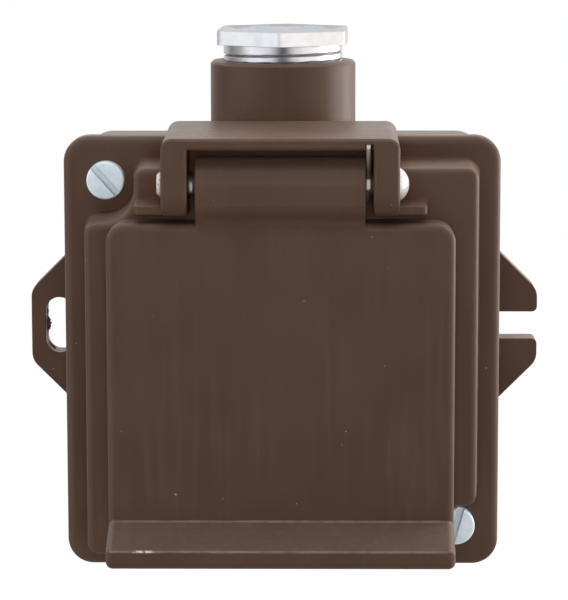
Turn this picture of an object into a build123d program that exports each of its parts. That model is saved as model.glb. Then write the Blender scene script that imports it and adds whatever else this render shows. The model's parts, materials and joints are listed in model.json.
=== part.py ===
from build123d import *

import math
import os

# Weatherproof surface socket: a moulded box on the wall, a front cover with a sprung lid,
# and a cable gland on top. Millimetres.
# The wall is the plane Y = 0, the front faces -Y, +X is right as seen from the front, and +Z is up.
# A depth is a distance from the wall towards the front.

os.makedirs("parts", exist_ok=True)

# Cable gland and the boss that holds it
THREAD_R = 11.2
THREAD_CLEARANCE = 0.1
BOSS_WALL = 2.35
BOSS_HEIGHT = 14.6
BOSS_CHAMFER = 0.5
BOSS_MARGIN = 0.35
GLAND_BORE_DEPTH = 13.9
CABLE_R = 7.0
CABLE_HOLE_R = 8.0
SEAL_HEIGHT = 7.0
GLAND_PLAY = 0.3
WASHER_THICKNESS = 1.0
NUT_MARGIN = 1.5
NUT_HEAD = 2.95
NUT_CHAMFER = 0.1
NUT_LIFT = 3.15
NUT_TURN = -2.5
SHANK_CHAMFER = 0.8

# Box
BOX_SIZE = 76.6
BOX_CORNER = 5.2
BOX_DRAFT = 1.0
BOX_WALL = 2.6
BACK_WALL = 3.0

# Fixing lugs
LUG_SPAN = 97.9
LUG_TIP = 13.8
LUG_RISE = 1.05
LUG_THICKNESS = 5.8
LUG_ROUND = 3.5
FIXING_INSET = 5.4
SLOT_WIDTH = 5.3
SLOT_LENGTH = 10.85
SLOT_MOUTH_ROUND = 1.0

# Cover
FLANGE_LIP = 1.36
FLANGE_THICKNESS = 4.0
FLANGE_CORNER = 4.8
FLANGE_ROUND = 1.5
PLATEAU_STEP = 3.95
PLATEAU_HEIGHT = 12.0
PLATEAU_DRAFT = 3.8
PLATEAU_CORNER = 2.8
PLATEAU_ROUND = 1.2
COVER_WALL = 2.6
NOTCH_R = 5.05
NOTCH_STRETCH = 0.9
GASKET_WIDTH = 1.8
GASKET_DEPTH = 1.6

# Cover screws and the inserts that hold them
SCREW_R = 2.0
SCREW_HEAD_R = 3.45
SCREW_HEAD = 2.6
SCREW_SLOT = 1.25
SCREW_SLOT_DEPTH = 1.3
SCREW_LENGTH = 14.0
SCREW_CHAMFER = 0.3
SCREW_INSET = 7.9
LEFT_SLOT_ANGLE = -48.0
RIGHT_SLOT_ANGLE = 75.0
INSERT_WALL = 1.0
INSERT_LENGTH = 9.5
PILLAR_WALL = 1.6
SCREW_CLEARANCE = 0.05

# Hinge
PIN_R = 2.0
PIN_CLEARANCE = 0.06
HINGE_DROP = 6.95
PIN_HEAD_SPREAD = 1.0
PIN_HEAD = 1.75
PIN_PEEN_SPREAD = 0.2
PIN_PEEN = 0.9
BARREL_R = 5.0
BARREL_GAP = 0.4
BARREL_END_GAP = 1.4
BARREL_CHEEK = 4.0
BARREL_ROUND = 2.0
BARREL_BLEND = 3.0

# Hood over the hinge
HOOD_WIDTH = 42.1
HOOD_ARM = 4.65
HOOD_COVER = 0.6
HOOD_HEADROOM = 1.5
HOOD_BAR = 2.05
HOOD_DRAFT = 1.8
HOOD_ROUND = 2.0
HOOD_EDGE = 0.4
ARM_FOOT_GAP = 0.53
ARM_FOOT_ROUND = 3.6
SHELF_OVERHANG = 4.95
SHELF_REACH = 7.7
SHELF_THICKNESS = 1.4
SHELF_RISE = 0.6
SHELF_LIFT = 0.4
SHELF_ROUND = 1.0

# Lid
LID_WIDTH = 62.1
LID_FOOT = 9.15
LID_DEPTH = 7.4
LID_GAP = 0.6
LID_SWING_GAP = 0.42
LID_WALL = 2.6
LID_CORNER = 3.4
LID_ROUND = 1.3
LIP_REACH = 8.0
LIP_DROP = 3.6
LIP_FACE = 3.4
LIP_THICKNESS = 2.6
LIP_ROUND = 0.5
LIP_END_ROUND = 1.3
LIP_CORNER = 1.3
LID_SEAL_SPACING = 2.3
LID_SEAL_WIDTH = 2.3
LID_SEAL_GAP = 0.3
LID_SEAL_PROUD = 0.8
LID_SEAL_DEPTH = 2.0
LID_RIB = 1.0

# Closing spring of the lid
SPRING_WIRE_R = 0.4
SPRING_SLACK = 0.6
SPRING_PITCH = 1.6
SPRING_TURNS = 3
SPRING_END_GAP = 0.1
SPRING_ROOM = 0.5
SPRING_TAIL = 2.5
SPRING_LEG_LEAN = 0.8
NOTCH_HEIGHT = 1.1

# Plug recess
WELL_R = 19.6
WELL_DEPTH = 17.5
WELL_WALL = 1.7
WELL_FLOOR = 2.5
WELL_CLEARANCE = 0.2
WELL_SHOULDER = 2.0
WELL_SEAL_WIDTH = 3.0
WELL_SEAL_THICKNESS = 1.5
KEY_WIDTH = 5.3
KEY_RISE = 2.0
KEY_SETBACK = 2.0

# Contacts and their carrier
PIN_PITCH = 19.0
PIN_HOLE_R = 2.7
CONTACT_R = 2.45
CONTACT_WALL = 0.9
CONTACT_SLIT = 1.0
TERMINAL_WIDTH = 7.5
TERMINAL_HEIGHT = 8.0
TERMINAL_DEPTH = 9.0
TERMINAL_SPACING = 8.5
STRAP_THICKNESS = 1.8
WIRE_R = 1.7
CARRIER_MARGIN = 0.2
CARRIER_HEIGHT = 44.0
CARRIER_THICKNESS = 13.0
CARRIER_CORNER = 4.0
CARRIER_FLOOR = 2.0
CARRIER_SCREW_INSET_X = 4.5
CARRIER_SCREW_INSET_Z = 6.0
POST_R = 4.0
POCKET_CLEARANCE = 0.25
SMALL_SCREW_R = 1.7
SMALL_HEAD_R = 2.8
SMALL_HEAD = 1.5
SMALL_SLOT = 0.8
SMALL_SLOT_DEPTH = 0.7
EARTH_WIDTH = 7.0
EARTH_THICKNESS = 1.2
EARTH_INSET = 1.4
EARTH_BULGE = 1.6
EARTH_BEND = 1.2
EARTH_SETBACK = 6.0
EARTH_SINK = 6.0
EARTH_SCREW_DROP = 10.0
CENTRE_SCREW_R = 1.5
CENTRE_HEAD_R = 2.9

# Radii and widths worked out from the sizes above
NUT_ACROSS_FLATS = 2 * THREAD_R + NUT_MARGIN
PIN_HEAD_R = PIN_R + PIN_HEAD_SPREAD
PIN_PEEN_R = PIN_R + PIN_PEEN_SPREAD
SPRING_COIL_R = PIN_R + SPRING_WIRE_R + SPRING_SLACK
SHELF_WIDTH = HOOD_WIDTH + 2 * SHELF_OVERHANG
WELL_OUTSIDE_R = WELL_R + WELL_WALL
SHOULDER_R = WELL_OUTSIDE_R + WELL_SEAL_WIDTH
LID_SEAL_R = WELL_OUTSIDE_R + LID_SEAL_SPACING
EARTH_REACH = WELL_R - EARTH_INSET
CARRIER_WIDTH = 2 * (SHOULDER_R + CARRIER_MARGIN)
CARRIER_SCREW_X = CARRIER_WIDTH / 2 - CARRIER_SCREW_INSET_X
CARRIER_SCREW_Z = CARRIER_HEIGHT / 2 - CARRIER_SCREW_INSET_Z

# Depths worked out from the sizes above
GLAND_BORE_R = THREAD_R + THREAD_CLEARANCE
BOSS_R = GLAND_BORE_R + BOSS_WALL
BOX_DEPTH = 2 * (BOSS_R + BOSS_MARGIN)
BOSS_AXIS = BOX_DEPTH / 2
FLANGE_FRONT = BOX_DEPTH + FLANGE_THICKNESS
PLATEAU_FRONT = FLANGE_FRONT + PLATEAU_HEIGHT
PLATEAU_BACK = PLATEAU_FRONT - COVER_WALL
PIN_DEPTH = PLATEAU_FRONT + BARREL_GAP + BARREL_R
HOOD_FRONT = PIN_DEPTH + BARREL_R + HOOD_COVER
LID_BACK = PLATEAU_FRONT + LID_GAP
LID_FACE = LID_BACK + LID_DEPTH
LID_INSIDE = LID_FACE - LID_WALL
WELL_FLOOR_FRONT = PLATEAU_FRONT - WELL_DEPTH
CARRIER_FRONT = WELL_FLOOR_FRONT - WELL_FLOOR
CARRIER_BACK = CARRIER_FRONT - CARRIER_THICKNESS
CONTACT_SEAT = CARRIER_BACK + CARRIER_FLOOR
EARTH_SEAT = CARRIER_FRONT - EARTH_SINK

# Outlines worked out from the sizes above
BOX_SPREAD = BOX_DEPTH * math.tan(math.radians(BOX_DRAFT))
RIM_SIZE = BOX_SIZE + 2 * BOX_SPREAD
FLANGE_SIZE = RIM_SIZE + 2 * FLANGE_LIP
PLATEAU_HALF = FLANGE_SIZE / 2 - PLATEAU_STEP
SCREW_AT = FLANGE_SIZE / 2 - SCREW_INSET
NOTCH_AT = SCREW_AT - NOTCH_R
INSERT_R = SCREW_R + SCREW_CLEARANCE + INSERT_WALL
PILLAR_R = INSERT_R + PILLAR_WALL
GASKET_OUTSIDE = RIM_SIZE - BOX_WALL + GASKET_WIDTH
GASKET_INSIDE = GASKET_OUTSIDE - 2 * GASKET_WIDTH
BARREL_LENGTH = HOOD_WIDTH - 2 * HOOD_ARM - 2 * BARREL_END_GAP

# Heights worked out from the sizes above
PIN_Z = FLANGE_SIZE / 2 - HINGE_DROP
BOSS_FOOT = BOX_SIZE / 2 - BOX_WALL
BOSS_TOP = BOX_SIZE / 2 + BOSS_HEIGHT
GLAND_SHOULDER = BOSS_TOP - GLAND_BORE_DEPTH
WASHER_FOOT = GLAND_SHOULDER + SEAL_HEIGHT
NUT_FOOT = WASHER_FOOT + WASHER_THICKNESS
NUT_SEAT = BOSS_TOP + NUT_LIFT
NUT_TOP = NUT_SEAT + NUT_HEAD
HOOD_ROOF = PIN_Z + BARREL_R + HOOD_HEADROOM
HOOD_TOP_FRONT = HOOD_ROOF + HOOD_BAR
HOOD_TOP_REAR = HOOD_TOP_FRONT + (HOOD_FRONT - BOX_DEPTH) * math.tan(math.radians(HOOD_DRAFT))
ARM_DROP = BARREL_R + ARM_FOOT_GAP
ARM_FOOT = PIN_Z - ARM_DROP
FOOT_SWEEP = ARM_FOOT_ROUND + math.hypot(
    HOOD_FRONT - PIN_DEPTH - ARM_FOOT_ROUND, ARM_DROP - ARM_FOOT_ROUND
)
LID_TOP = PIN_Z - FOOT_SWEEP - LID_SWING_GAP
LID_BOTTOM = LID_FOOT - FLANGE_SIZE / 2
LID_HEIGHT = LID_TOP - LID_BOTTOM
SOCKET_Z = (LID_TOP + LID_BOTTOM) / 2


def facing(depth):
    """Plane parallel to the wall at this depth, looking out of the front."""
    return Plane.XZ.offset(depth)


def seen_from_above(height):
    """Level plane at this height, looking up."""
    return Plane.XY.offset(height)


def notched_corners(half, notch):
    """Square with its top-left and bottom-right corners cut back for the cover screws."""
    deep = notch - NOTCH_STRETCH
    return [
        (-notch, half),
        (half, half),
        (half, -notch),
        (deep, -notch),
        (deep, -half),
        (-half, -half),
        (-half, deep),
        (-notch, deep),
    ]


def notched_square(half, notch, outer_r, inner_r):
    """Face of a notched square with its outer corners and its notches rounded."""
    with BuildSketch() as face:
        Polygon(*notched_corners(half, notch), align=None)
        elbows = ((notch - NOTCH_STRETCH, -notch), (-notch, notch - NOTCH_STRETCH))
        inner = [face.vertices().sort_by_distance(at)[0] for at in elbows]
        outer = [corner for corner in face.vertices() if corner not in inner]
        fillet(outer, radius=outer_r)
        inner = [face.vertices().sort_by_distance(at)[0] for at in elbows]
        fillet(inner, radius=inner_r)
    return face.sketch


SCREW_PLACES = [(-SCREW_AT, SCREW_AT), (SCREW_AT, -SCREW_AT)]
CARRIER_SCREW_PLACES = [
    (-CARRIER_SCREW_X, SOCKET_Z + CARRIER_SCREW_Z),
    (CARRIER_SCREW_X, SOCKET_Z - CARRIER_SCREW_Z),
]
PIN_PLACES = [(-PIN_PITCH / 2, SOCKET_Z), (PIN_PITCH / 2, SOCKET_Z)]
TERMINAL_AT = PIN_PITCH / 2 + TERMINAL_SPACING

# Box with the fixing lugs, the cable boss, the insert pillars and the posts for the carrier
LUG_HALF = LUG_SPAN / 2
LUG_ROOT = LUG_HALF - BOX_SIZE / 2
FIXING_AT = LUG_HALF - FIXING_INSET
LUG_OUTLINE = [
    (-LUG_HALF, LUG_RISE + LUG_TIP / 2),
    (-LUG_HALF + LUG_ROOT, LUG_RISE + LUG_TIP / 2 + LUG_ROOT),
    (LUG_HALF - LUG_ROOT, LUG_RISE + LUG_TIP / 2 + LUG_ROOT),
    (LUG_HALF, LUG_RISE + LUG_TIP / 2),
    (LUG_HALF, LUG_RISE - LUG_TIP / 2),
    (LUG_HALF - LUG_ROOT, LUG_RISE - LUG_TIP / 2 - LUG_ROOT),
    (-LUG_HALF + LUG_ROOT, LUG_RISE - LUG_TIP / 2 - LUG_ROOT),
    (-LUG_HALF, LUG_RISE - LUG_TIP / 2),
]

with BuildPart() as base_box:
    with BuildSketch(facing(0)):
        RectangleRounded(BOX_SIZE, BOX_SIZE, BOX_CORNER)
    extrude(amount=BOX_DEPTH, taper=-BOX_DRAFT)
    with BuildSketch(facing(0)) as lugs:
        Polygon(*LUG_OUTLINE, align=None)
        columns = lugs.vertices().group_by(Axis.X)
        fillet(columns[0] + columns[-1], radius=LUG_ROUND)
        with Locations((-FIXING_AT, LUG_RISE)):
            SlotOverall(SLOT_LENGTH, SLOT_WIDTH, rotation=90, mode=Mode.SUBTRACT)
        with Locations((LUG_HALF, LUG_RISE)):
            Rectangle(2 * LUG_ROOT, SLOT_WIDTH, mode=Mode.SUBTRACT)
        mouth = [(LUG_HALF, LUG_RISE + SLOT_WIDTH / 2), (LUG_HALF, LUG_RISE - SLOT_WIDTH / 2)]
        fillet([lugs.vertices().sort_by_distance(at)[0] for at in mouth], radius=SLOT_MOUTH_ROUND)
    extrude(amount=LUG_THICKNESS)
    with BuildSketch(seen_from_above(BOSS_FOOT)):
        with Locations((0, -BOSS_AXIS)):
            Circle(BOSS_R)
    extrude(amount=BOSS_TOP - BOSS_FOOT)
    chamfer(edges().filter_by(GeomType.CIRCLE).group_by(Axis.Z)[-1], length=BOSS_CHAMFER)
    with BuildSketch(facing(BACK_WALL)):
        RectangleRounded(BOX_SIZE - 2 * BOX_WALL, BOX_SIZE - 2 * BOX_WALL, BOX_CORNER / 2)
    extrude(amount=BOX_DEPTH - BACK_WALL, taper=-BOX_DRAFT, mode=Mode.SUBTRACT)
    with BuildSketch(facing(BACK_WALL / 2)):
        with Locations(*SCREW_PLACES):
            Circle(PILLAR_R)
    extrude(amount=BOX_DEPTH - BACK_WALL / 2)
    with BuildSketch(facing(BOX_DEPTH)):
        with Locations(*SCREW_PLACES):
            Circle(INSERT_R + SCREW_CLEARANCE)
    extrude(amount=-SCREW_LENGTH, mode=Mode.SUBTRACT)
    with BuildSketch(facing(BACK_WALL / 2)):
        with Locations(*CARRIER_SCREW_PLACES):
            Circle(POST_R)
    extrude(amount=CARRIER_BACK - BACK_WALL / 2)
    with BuildSketch(facing(CARRIER_BACK)):
        with Locations(*CARRIER_SCREW_PLACES):
            Circle(SMALL_SCREW_R + SCREW_CLEARANCE)
    extrude(amount=BACK_WALL - CARRIER_BACK, mode=Mode.SUBTRACT)
    with BuildSketch(seen_from_above(BOSS_TOP)):
        with Locations((0, -BOSS_AXIS)):
            Circle(GLAND_BORE_R)
    extrude(amount=-GLAND_BORE_DEPTH, mode=Mode.SUBTRACT)
    with BuildSketch(seen_from_above(BOSS_TOP)):
        with Locations((0, -BOSS_AXIS)):
            Circle(CABLE_HOLE_R)
    extrude(amount=BOSS_FOOT - BOSS_TOP - BOX_WALL, mode=Mode.SUBTRACT)
base_box.part.label = "base_box"
export_step(base_box.part, "parts/base_box.step")

# Front cover: flange, notched plateau, hood with its two arms and shelves, hollow behind
ARM_INSIDE = HOOD_WIDTH / 2 - HOOD_ARM
HOOD_ROOT = PLATEAU_HALF - PLATEAU_HEIGHT * math.tan(math.radians(PLATEAU_DRAFT)) - COVER_WALL
ARM_ROOT = PLATEAU_FRONT - COVER_WALL / 2
HOOD_SIDE = [
    (-BOX_DEPTH, HOOD_TOP_REAR),
    (-HOOD_FRONT, HOOD_TOP_FRONT),
    (-HOOD_FRONT, ARM_FOOT),
    (-ARM_ROOT, ARM_FOOT),
    (-ARM_ROOT, HOOD_ROOT),
    (-BOX_DEPTH, HOOD_ROOT),
]
HOOD_CORE_WIDTH = HOOD_WIDTH - 2 * COVER_WALL
ARM_MIDDLE = HOOD_WIDTH / 2 - HOOD_ARM / 2
SHELF_FOOT = ARM_FOOT + SHELF_LIFT
SHELF_FRONT = PLATEAU_FRONT + SHELF_REACH
SHELF_SIDE = [
    (-ARM_ROOT, SHELF_FOOT),
    (-SHELF_FRONT, SHELF_FOOT),
    (-SHELF_FRONT, SHELF_FOOT + SHELF_THICKNESS),
    (-ARM_ROOT, SHELF_FOOT + SHELF_THICKNESS + SHELF_RISE),
]
SPRING_LEG_X = BARREL_LENGTH / 2 + SPRING_WIRE_R + SPRING_END_GAP
LEG_DEPTH = PIN_DEPTH + SPRING_COIL_R

with BuildPart() as front_cover:
    with BuildSketch(facing(BOX_DEPTH)):
        RectangleRounded(FLANGE_SIZE, FLANGE_SIZE, FLANGE_CORNER)
    extrude(amount=FLANGE_THICKNESS)
    fillet(faces().sort_by(Axis.Y)[0].edges(), radius=FLANGE_ROUND)
    with BuildSketch(facing(FLANGE_FRONT)):
        add(notched_square(PLATEAU_HALF, NOTCH_AT, PLATEAU_CORNER, NOTCH_R))
    extrude(amount=PLATEAU_HEIGHT)
    walls = faces().filter_by(lambda face: -PLATEAU_FRONT < face.center().Y < -FLANGE_FRONT)
    draft(walls, neutral_plane=facing(FLANGE_FRONT), angle=PLATEAU_DRAFT)
    fillet(faces().sort_by(Axis.Y)[0].edges(), radius=PLATEAU_ROUND)
    with BuildSketch(Plane.YZ) as hood_side:
        Polygon(*HOOD_SIDE, align=None)
        fillet(hood_side.vertices().sort_by_distance((-HOOD_FRONT, ARM_FOOT))[0], radius=ARM_FOOT_ROUND)
    extrude(amount=HOOD_WIDTH / 2, both=True)
    hood_top = faces().sort_by(Axis.Z)[-1].edges().sort_by(Axis.X)
    fillet([hood_top[0], hood_top[-1]], radius=HOOD_ROUND)
    with BuildSketch(facing(PLATEAU_FRONT)):
        with Locations((0, ARM_FOOT - SHELF_THICKNESS)):
            Rectangle(
                2 * ARM_INSIDE,
                HOOD_ROOF - ARM_FOOT + SHELF_THICKNESS,
                align=(Align.CENTER, Align.MIN),
            )
    extrude(amount=2 * (HOOD_FRONT - PLATEAU_FRONT), mode=Mode.SUBTRACT)
    hood_edges = faces().sort_by(Axis.Y)[0].edges().filter_by(
        lambda edge: edge.center().Z > ARM_FOOT + 2 * ARM_FOOT_ROUND or edge.length > 2 * HOOD_ARM
    )
    chamfer(hood_edges, length=HOOD_EDGE)
    for side in (-1, 1):
        with BuildSketch(Plane.YZ.offset(side * ARM_MIDDLE)):
            Polygon(*SHELF_SIDE, align=None)
        extrude(amount=side * (SHELF_WIDTH / 2 - ARM_MIDDLE))
    upright = edges().filter_by(Axis.Z)
    shelf_ends = upright.filter_by(
        lambda edge: abs(edge.center().X) > SHELF_WIDTH / 2 - SHELF_ROUND
        and edge.center().Y < -PLATEAU_FRONT - SHELF_ROUND
    )
    fillet(shelf_ends, radius=SHELF_ROUND)
    with BuildSketch(Plane.YZ.offset(-HOOD_WIDTH)):
        with Locations((-PIN_DEPTH, PIN_Z)):
            Circle(PIN_R + PIN_CLEARANCE)
    extrude(amount=2 * HOOD_WIDTH, mode=Mode.SUBTRACT)
    with BuildSketch(facing(LEG_DEPTH - 2 * SPRING_WIRE_R)):
        with Locations((ARM_INSIDE, HOOD_ROOF)):
            Rectangle(
                BARREL_END_GAP + SPRING_END_GAP,
                2 * NOTCH_HEIGHT,
                align=(Align.MAX, Align.CENTER),
            )
    extrude(amount=HOOD_FRONT, mode=Mode.SUBTRACT)
    with BuildSketch(facing(BOX_DEPTH)):
        add(notched_square(HOOD_ROOT, NOTCH_AT - COVER_WALL, PLATEAU_CORNER / 2, NOTCH_R))
    extrude(amount=PLATEAU_BACK - BOX_DEPTH, mode=Mode.SUBTRACT)
    with BuildSketch(facing(BOX_DEPTH + COVER_WALL)):
        with Locations((0, HOOD_ROOT - 2 * COVER_WALL)):
            Rectangle(
                HOOD_CORE_WIDTH,
                HOOD_ROOF - HOOD_ROOT + 2 * COVER_WALL,
                align=(Align.CENTER, Align.MIN),
            )
    extrude(amount=PLATEAU_BACK - BOX_DEPTH - COVER_WALL, mode=Mode.SUBTRACT)
    with BuildSketch(facing(PLATEAU_FRONT)):
        with Locations((0, SOCKET_Z)):
            Circle(WELL_OUTSIDE_R + WELL_CLEARANCE)
    extrude(amount=-2 * COVER_WALL, mode=Mode.SUBTRACT)
    with BuildSketch(facing(FLANGE_FRONT)):
        with Locations(*SCREW_PLACES):
            Circle(SCREW_R + WELL_CLEARANCE)
    extrude(amount=-2 * FLANGE_THICKNESS, mode=Mode.SUBTRACT)
    with BuildSketch(facing(BOX_DEPTH)):
        RectangleRounded(GASKET_OUTSIDE, GASKET_OUTSIDE, BOX_CORNER)
        RectangleRounded(GASKET_INSIDE, GASKET_INSIDE, BOX_CORNER - GASKET_WIDTH, mode=Mode.SUBTRACT)
    extrude(amount=GASKET_DEPTH, mode=Mode.SUBTRACT)
front_cover.part.label = "front_cover"
export_step(front_cover.part, "parts/front_cover.step")

# Sealing ring in the groove of the cover
with BuildPart() as cover_gasket:
    with BuildSketch(facing(BOX_DEPTH)):
        RectangleRounded(GASKET_OUTSIDE, GASKET_OUTSIDE, BOX_CORNER)
        RectangleRounded(GASKET_INSIDE, GASKET_INSIDE, BOX_CORNER - GASKET_WIDTH, mode=Mode.SUBTRACT)
    extrude(amount=GASKET_DEPTH)
cover_gasket.part.label = "cover_gasket"
export_step(cover_gasket.part, "parts/cover_gasket.step")

# Slotted cheese-head screws of the cover
with BuildPart() as cover_screws:
    with BuildSketch(facing(FLANGE_FRONT)):
        with Locations(*SCREW_PLACES):
            Circle(SCREW_HEAD_R)
    extrude(amount=SCREW_HEAD)
    chamfer(faces().group_by(Axis.Y)[0].edges(), length=SCREW_CHAMFER)
    with BuildSketch(facing(FLANGE_FRONT)):
        with Locations(*SCREW_PLACES):
            Circle(SCREW_R)
    extrude(amount=-SCREW_LENGTH)
    with BuildSketch(facing(FLANGE_FRONT + SCREW_HEAD)):
        for place, angle in zip(SCREW_PLACES, (LEFT_SLOT_ANGLE, RIGHT_SLOT_ANGLE)):
            with Locations(place):
                Rectangle(3 * SCREW_HEAD_R, SCREW_SLOT, rotation=angle)
    extrude(amount=-SCREW_SLOT_DEPTH, mode=Mode.SUBTRACT)
cover_screws.part.label = "cover_screws"
export_step(cover_screws.part, "parts/cover_screws.step")

# Brass inserts in the pillars of the box
with BuildPart() as thread_inserts:
    with BuildSketch(facing(BOX_DEPTH)):
        with Locations(*SCREW_PLACES):
            Circle(INSERT_R)
            Circle(SCREW_R + SCREW_CLEARANCE, mode=Mode.SUBTRACT)
    extrude(amount=-INSERT_LENGTH)
thread_inserts.part.label = "thread_inserts"
export_step(thread_inserts.part, "parts/thread_inserts.step")

# Lid: hollow plate with a flared grip lip, and a hinge barrel that blends into its face
LIP_UNDER = LIP_DROP / LIP_REACH
LIP_BACK = LID_FACE + LIP_REACH - LIP_THICKNESS
LIP_ROOT = LIP_BACK - LIP_FACE / LIP_UNDER
LID_SIDE = [
    (-LID_BACK, LID_TOP),
    (-LID_FACE, LID_TOP),
    (-LID_FACE, LID_BOTTOM + LIP_DROP),
    (-LID_FACE - LIP_REACH, LID_BOTTOM),
    (-LID_FACE - LIP_REACH, LID_BOTTOM - LIP_FACE),
    (-LIP_BACK, LID_BOTTOM - LIP_FACE),
    (-LIP_ROOT, LID_BOTTOM),
    (-LID_BACK, LID_BOTTOM),
]
NECK_FOOT = LID_TOP - LID_WALL / 2
NECK_SIDE = [
    (-LID_BACK, PIN_Z),
    (-PIN_DEPTH - BARREL_R, PIN_Z),
    (-PIN_DEPTH - BARREL_R, PIN_Z - BARREL_CHEEK),
    (-LID_FACE, LID_TOP),
    (-LID_FACE, NECK_FOOT),
    (-LID_BACK, NECK_FOOT),
]
SPRING_BORE_R = SPRING_COIL_R + SPRING_WIRE_R + SPRING_ROOM
SPRING_LENGTH = SPRING_PITCH * (SPRING_TURNS + 0.75)
SPRING_START_X = SPRING_LEG_X - SPRING_LENGTH
SPRING_BORE_FLOOR = SPRING_START_X - SPRING_WIRE_R - SPRING_ROOM
LID_SEAL_FRONT = LID_INSIDE - LID_SEAL_DEPTH
LID_SEAL_BACK = PLATEAU_FRONT + LID_SEAL_GAP
LID_SEAL_OUT = LID_SEAL_R + LID_SEAL_WIDTH / 2
LID_SEAL_IN = LID_SEAL_R - LID_SEAL_WIDTH / 2

with BuildPart() as lid:
    with BuildSketch(Plane.YZ):
        Polygon(*LID_SIDE, align=None)
    extrude(amount=LID_WIDTH / 2, both=True)
    fillet(edges().filter_by(Axis.Y).group_by(Axis.Z)[-1], radius=LID_CORNER)
    rims = edges().filter_by(
        lambda edge: abs(edge.center().Y + LID_FACE) < LID_ROUND
        and edge.center().Z > LID_BOTTOM + LIP_DROP + LID_ROUND
    )
    fillet(rims, radius=LID_ROUND)
    fillet(edges().filter_by(Axis.Y).group_by(Axis.Z)[0], radius=LIP_CORNER)
    lip_ends = edges().filter_by(
        lambda edge: abs(abs(edge.center().X) - LID_WIDTH / 2) < LIP_ROUND
        and (
            edge.center().Y < -LID_FACE - LIP_REACH + LIP_ROUND
            or -LID_FACE - LIP_REACH < edge.center().Y < -LID_FACE - LIP_ROUND
            and edge.center().Z > LID_BOTTOM
        )
    )
    fillet(lip_ends, radius=LIP_END_ROUND)
    level = edges().filter_by(Axis.X)
    fillet(level.filter_by(lambda edge: edge.center().Y < -LID_FACE - LIP_REACH / 2), radius=LIP_ROUND)
    with BuildSketch(facing(LID_BACK)):
        with Locations((0, SOCKET_Z)):
            RectangleRounded(LID_WIDTH - 2 * LID_WALL, LID_HEIGHT - 2 * LID_WALL, LID_CORNER / 2)
    extrude(amount=LID_DEPTH - LID_WALL, mode=Mode.SUBTRACT)
    with BuildSketch(facing(LID_INSIDE)):
        with Locations((0, SOCKET_Z)):
            Circle(LID_SEAL_OUT + LID_RIB)
            Circle(LID_SEAL_IN - LID_RIB, mode=Mode.SUBTRACT)
    extrude(amount=LID_BACK + LID_SEAL_PROUD - LID_INSIDE)
    with BuildSketch(Plane.YZ) as barrel_side:
        with Locations((-PIN_DEPTH, PIN_Z)):
            Circle(BARREL_R)
        Polygon(*NECK_SIDE, align=None)
        brow = barrel_side.vertices().sort_by_distance(NECK_SIDE[2])[0]
        fillet(brow, radius=BARREL_ROUND)
        valley = barrel_side.vertices().sort_by_distance(NECK_SIDE[3])[0]
        fillet(valley, radius=BARREL_BLEND)
    extrude(amount=BARREL_LENGTH / 2, both=True)
    with BuildSketch(facing(LID_SEAL_FRONT)):
        with Locations((0, SOCKET_Z)):
            Circle(LID_SEAL_OUT)
            Circle(LID_SEAL_IN, mode=Mode.SUBTRACT)
    extrude(amount=LID_BACK - LID_SEAL_FRONT, mode=Mode.SUBTRACT)
    with BuildSketch(Plane.YZ.offset(-BARREL_LENGTH)):
        with Locations((-PIN_DEPTH, PIN_Z)):
            Circle(PIN_R + PIN_CLEARANCE)
    extrude(amount=2 * BARREL_LENGTH, mode=Mode.SUBTRACT)
    with BuildSketch(Plane.YZ.offset(SPRING_BORE_FLOOR)):
        with Locations((-PIN_DEPTH, PIN_Z)):
            Circle(SPRING_BORE_R)
    extrude(amount=BARREL_LENGTH, mode=Mode.SUBTRACT)
    with BuildSketch(Plane.YZ.offset(SPRING_BORE_FLOOR)):
        with Locations((-PIN_DEPTH, PIN_Z + SPRING_COIL_R)):
            Circle(SPRING_WIRE_R + PIN_CLEARANCE)
    extrude(amount=-SPRING_TAIL - SPRING_ROOM, mode=Mode.SUBTRACT)
lid.part.label = "lid"
export_step(lid.part, "parts/lid.step")

# Sealing ring in the lid
with BuildPart() as lid_gasket:
    with BuildSketch(facing(LID_SEAL_BACK)):
        with Locations((0, SOCKET_Z)):
            Circle(LID_SEAL_OUT)
            Circle(LID_SEAL_IN, mode=Mode.SUBTRACT)
    extrude(amount=LID_SEAL_FRONT - LID_SEAL_BACK)
lid_gasket.part.label = "lid_gasket"
export_step(lid_gasket.part, "parts/lid_gasket.step")

# Riveted hinge pin: domed head on the right, peened end on the left
with BuildPart() as hinge_pin:
    with BuildSketch(Plane.YZ.offset(-HOOD_WIDTH / 2)):
        with Locations((-PIN_DEPTH, PIN_Z)):
            Circle(PIN_R)
    extrude(amount=HOOD_WIDTH)
    with BuildSketch(Plane.YZ.offset(-HOOD_WIDTH / 2)):
        with Locations((-PIN_DEPTH, PIN_Z)):
            Circle(PIN_PEEN_R)
    extrude(amount=-PIN_PEEN)
    chamfer(faces().sort_by(Axis.X)[0].edges(), length=PIN_PEEN / 2)
    with BuildSketch(Plane.XZ.offset(PIN_DEPTH)):
        with BuildLine():
            crown = (HOOD_WIDTH / 2 + PIN_HEAD, PIN_Z)
            rim = (HOOD_WIDTH / 2, PIN_Z + PIN_HEAD_R)
            dome_r = (PIN_HEAD_R**2 + PIN_HEAD**2) / (2 * PIN_HEAD)
            RadiusArc(rim, crown, dome_r)
            Polyline(crown, (HOOD_WIDTH / 2, PIN_Z), rim)
        make_face()
    revolve(axis=Axis((0, -PIN_DEPTH, PIN_Z), (1, 0, 0)))
hinge_pin.part.label = "hinge_pin"
export_step(hinge_pin.part, "parts/hinge_pin.step")

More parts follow.
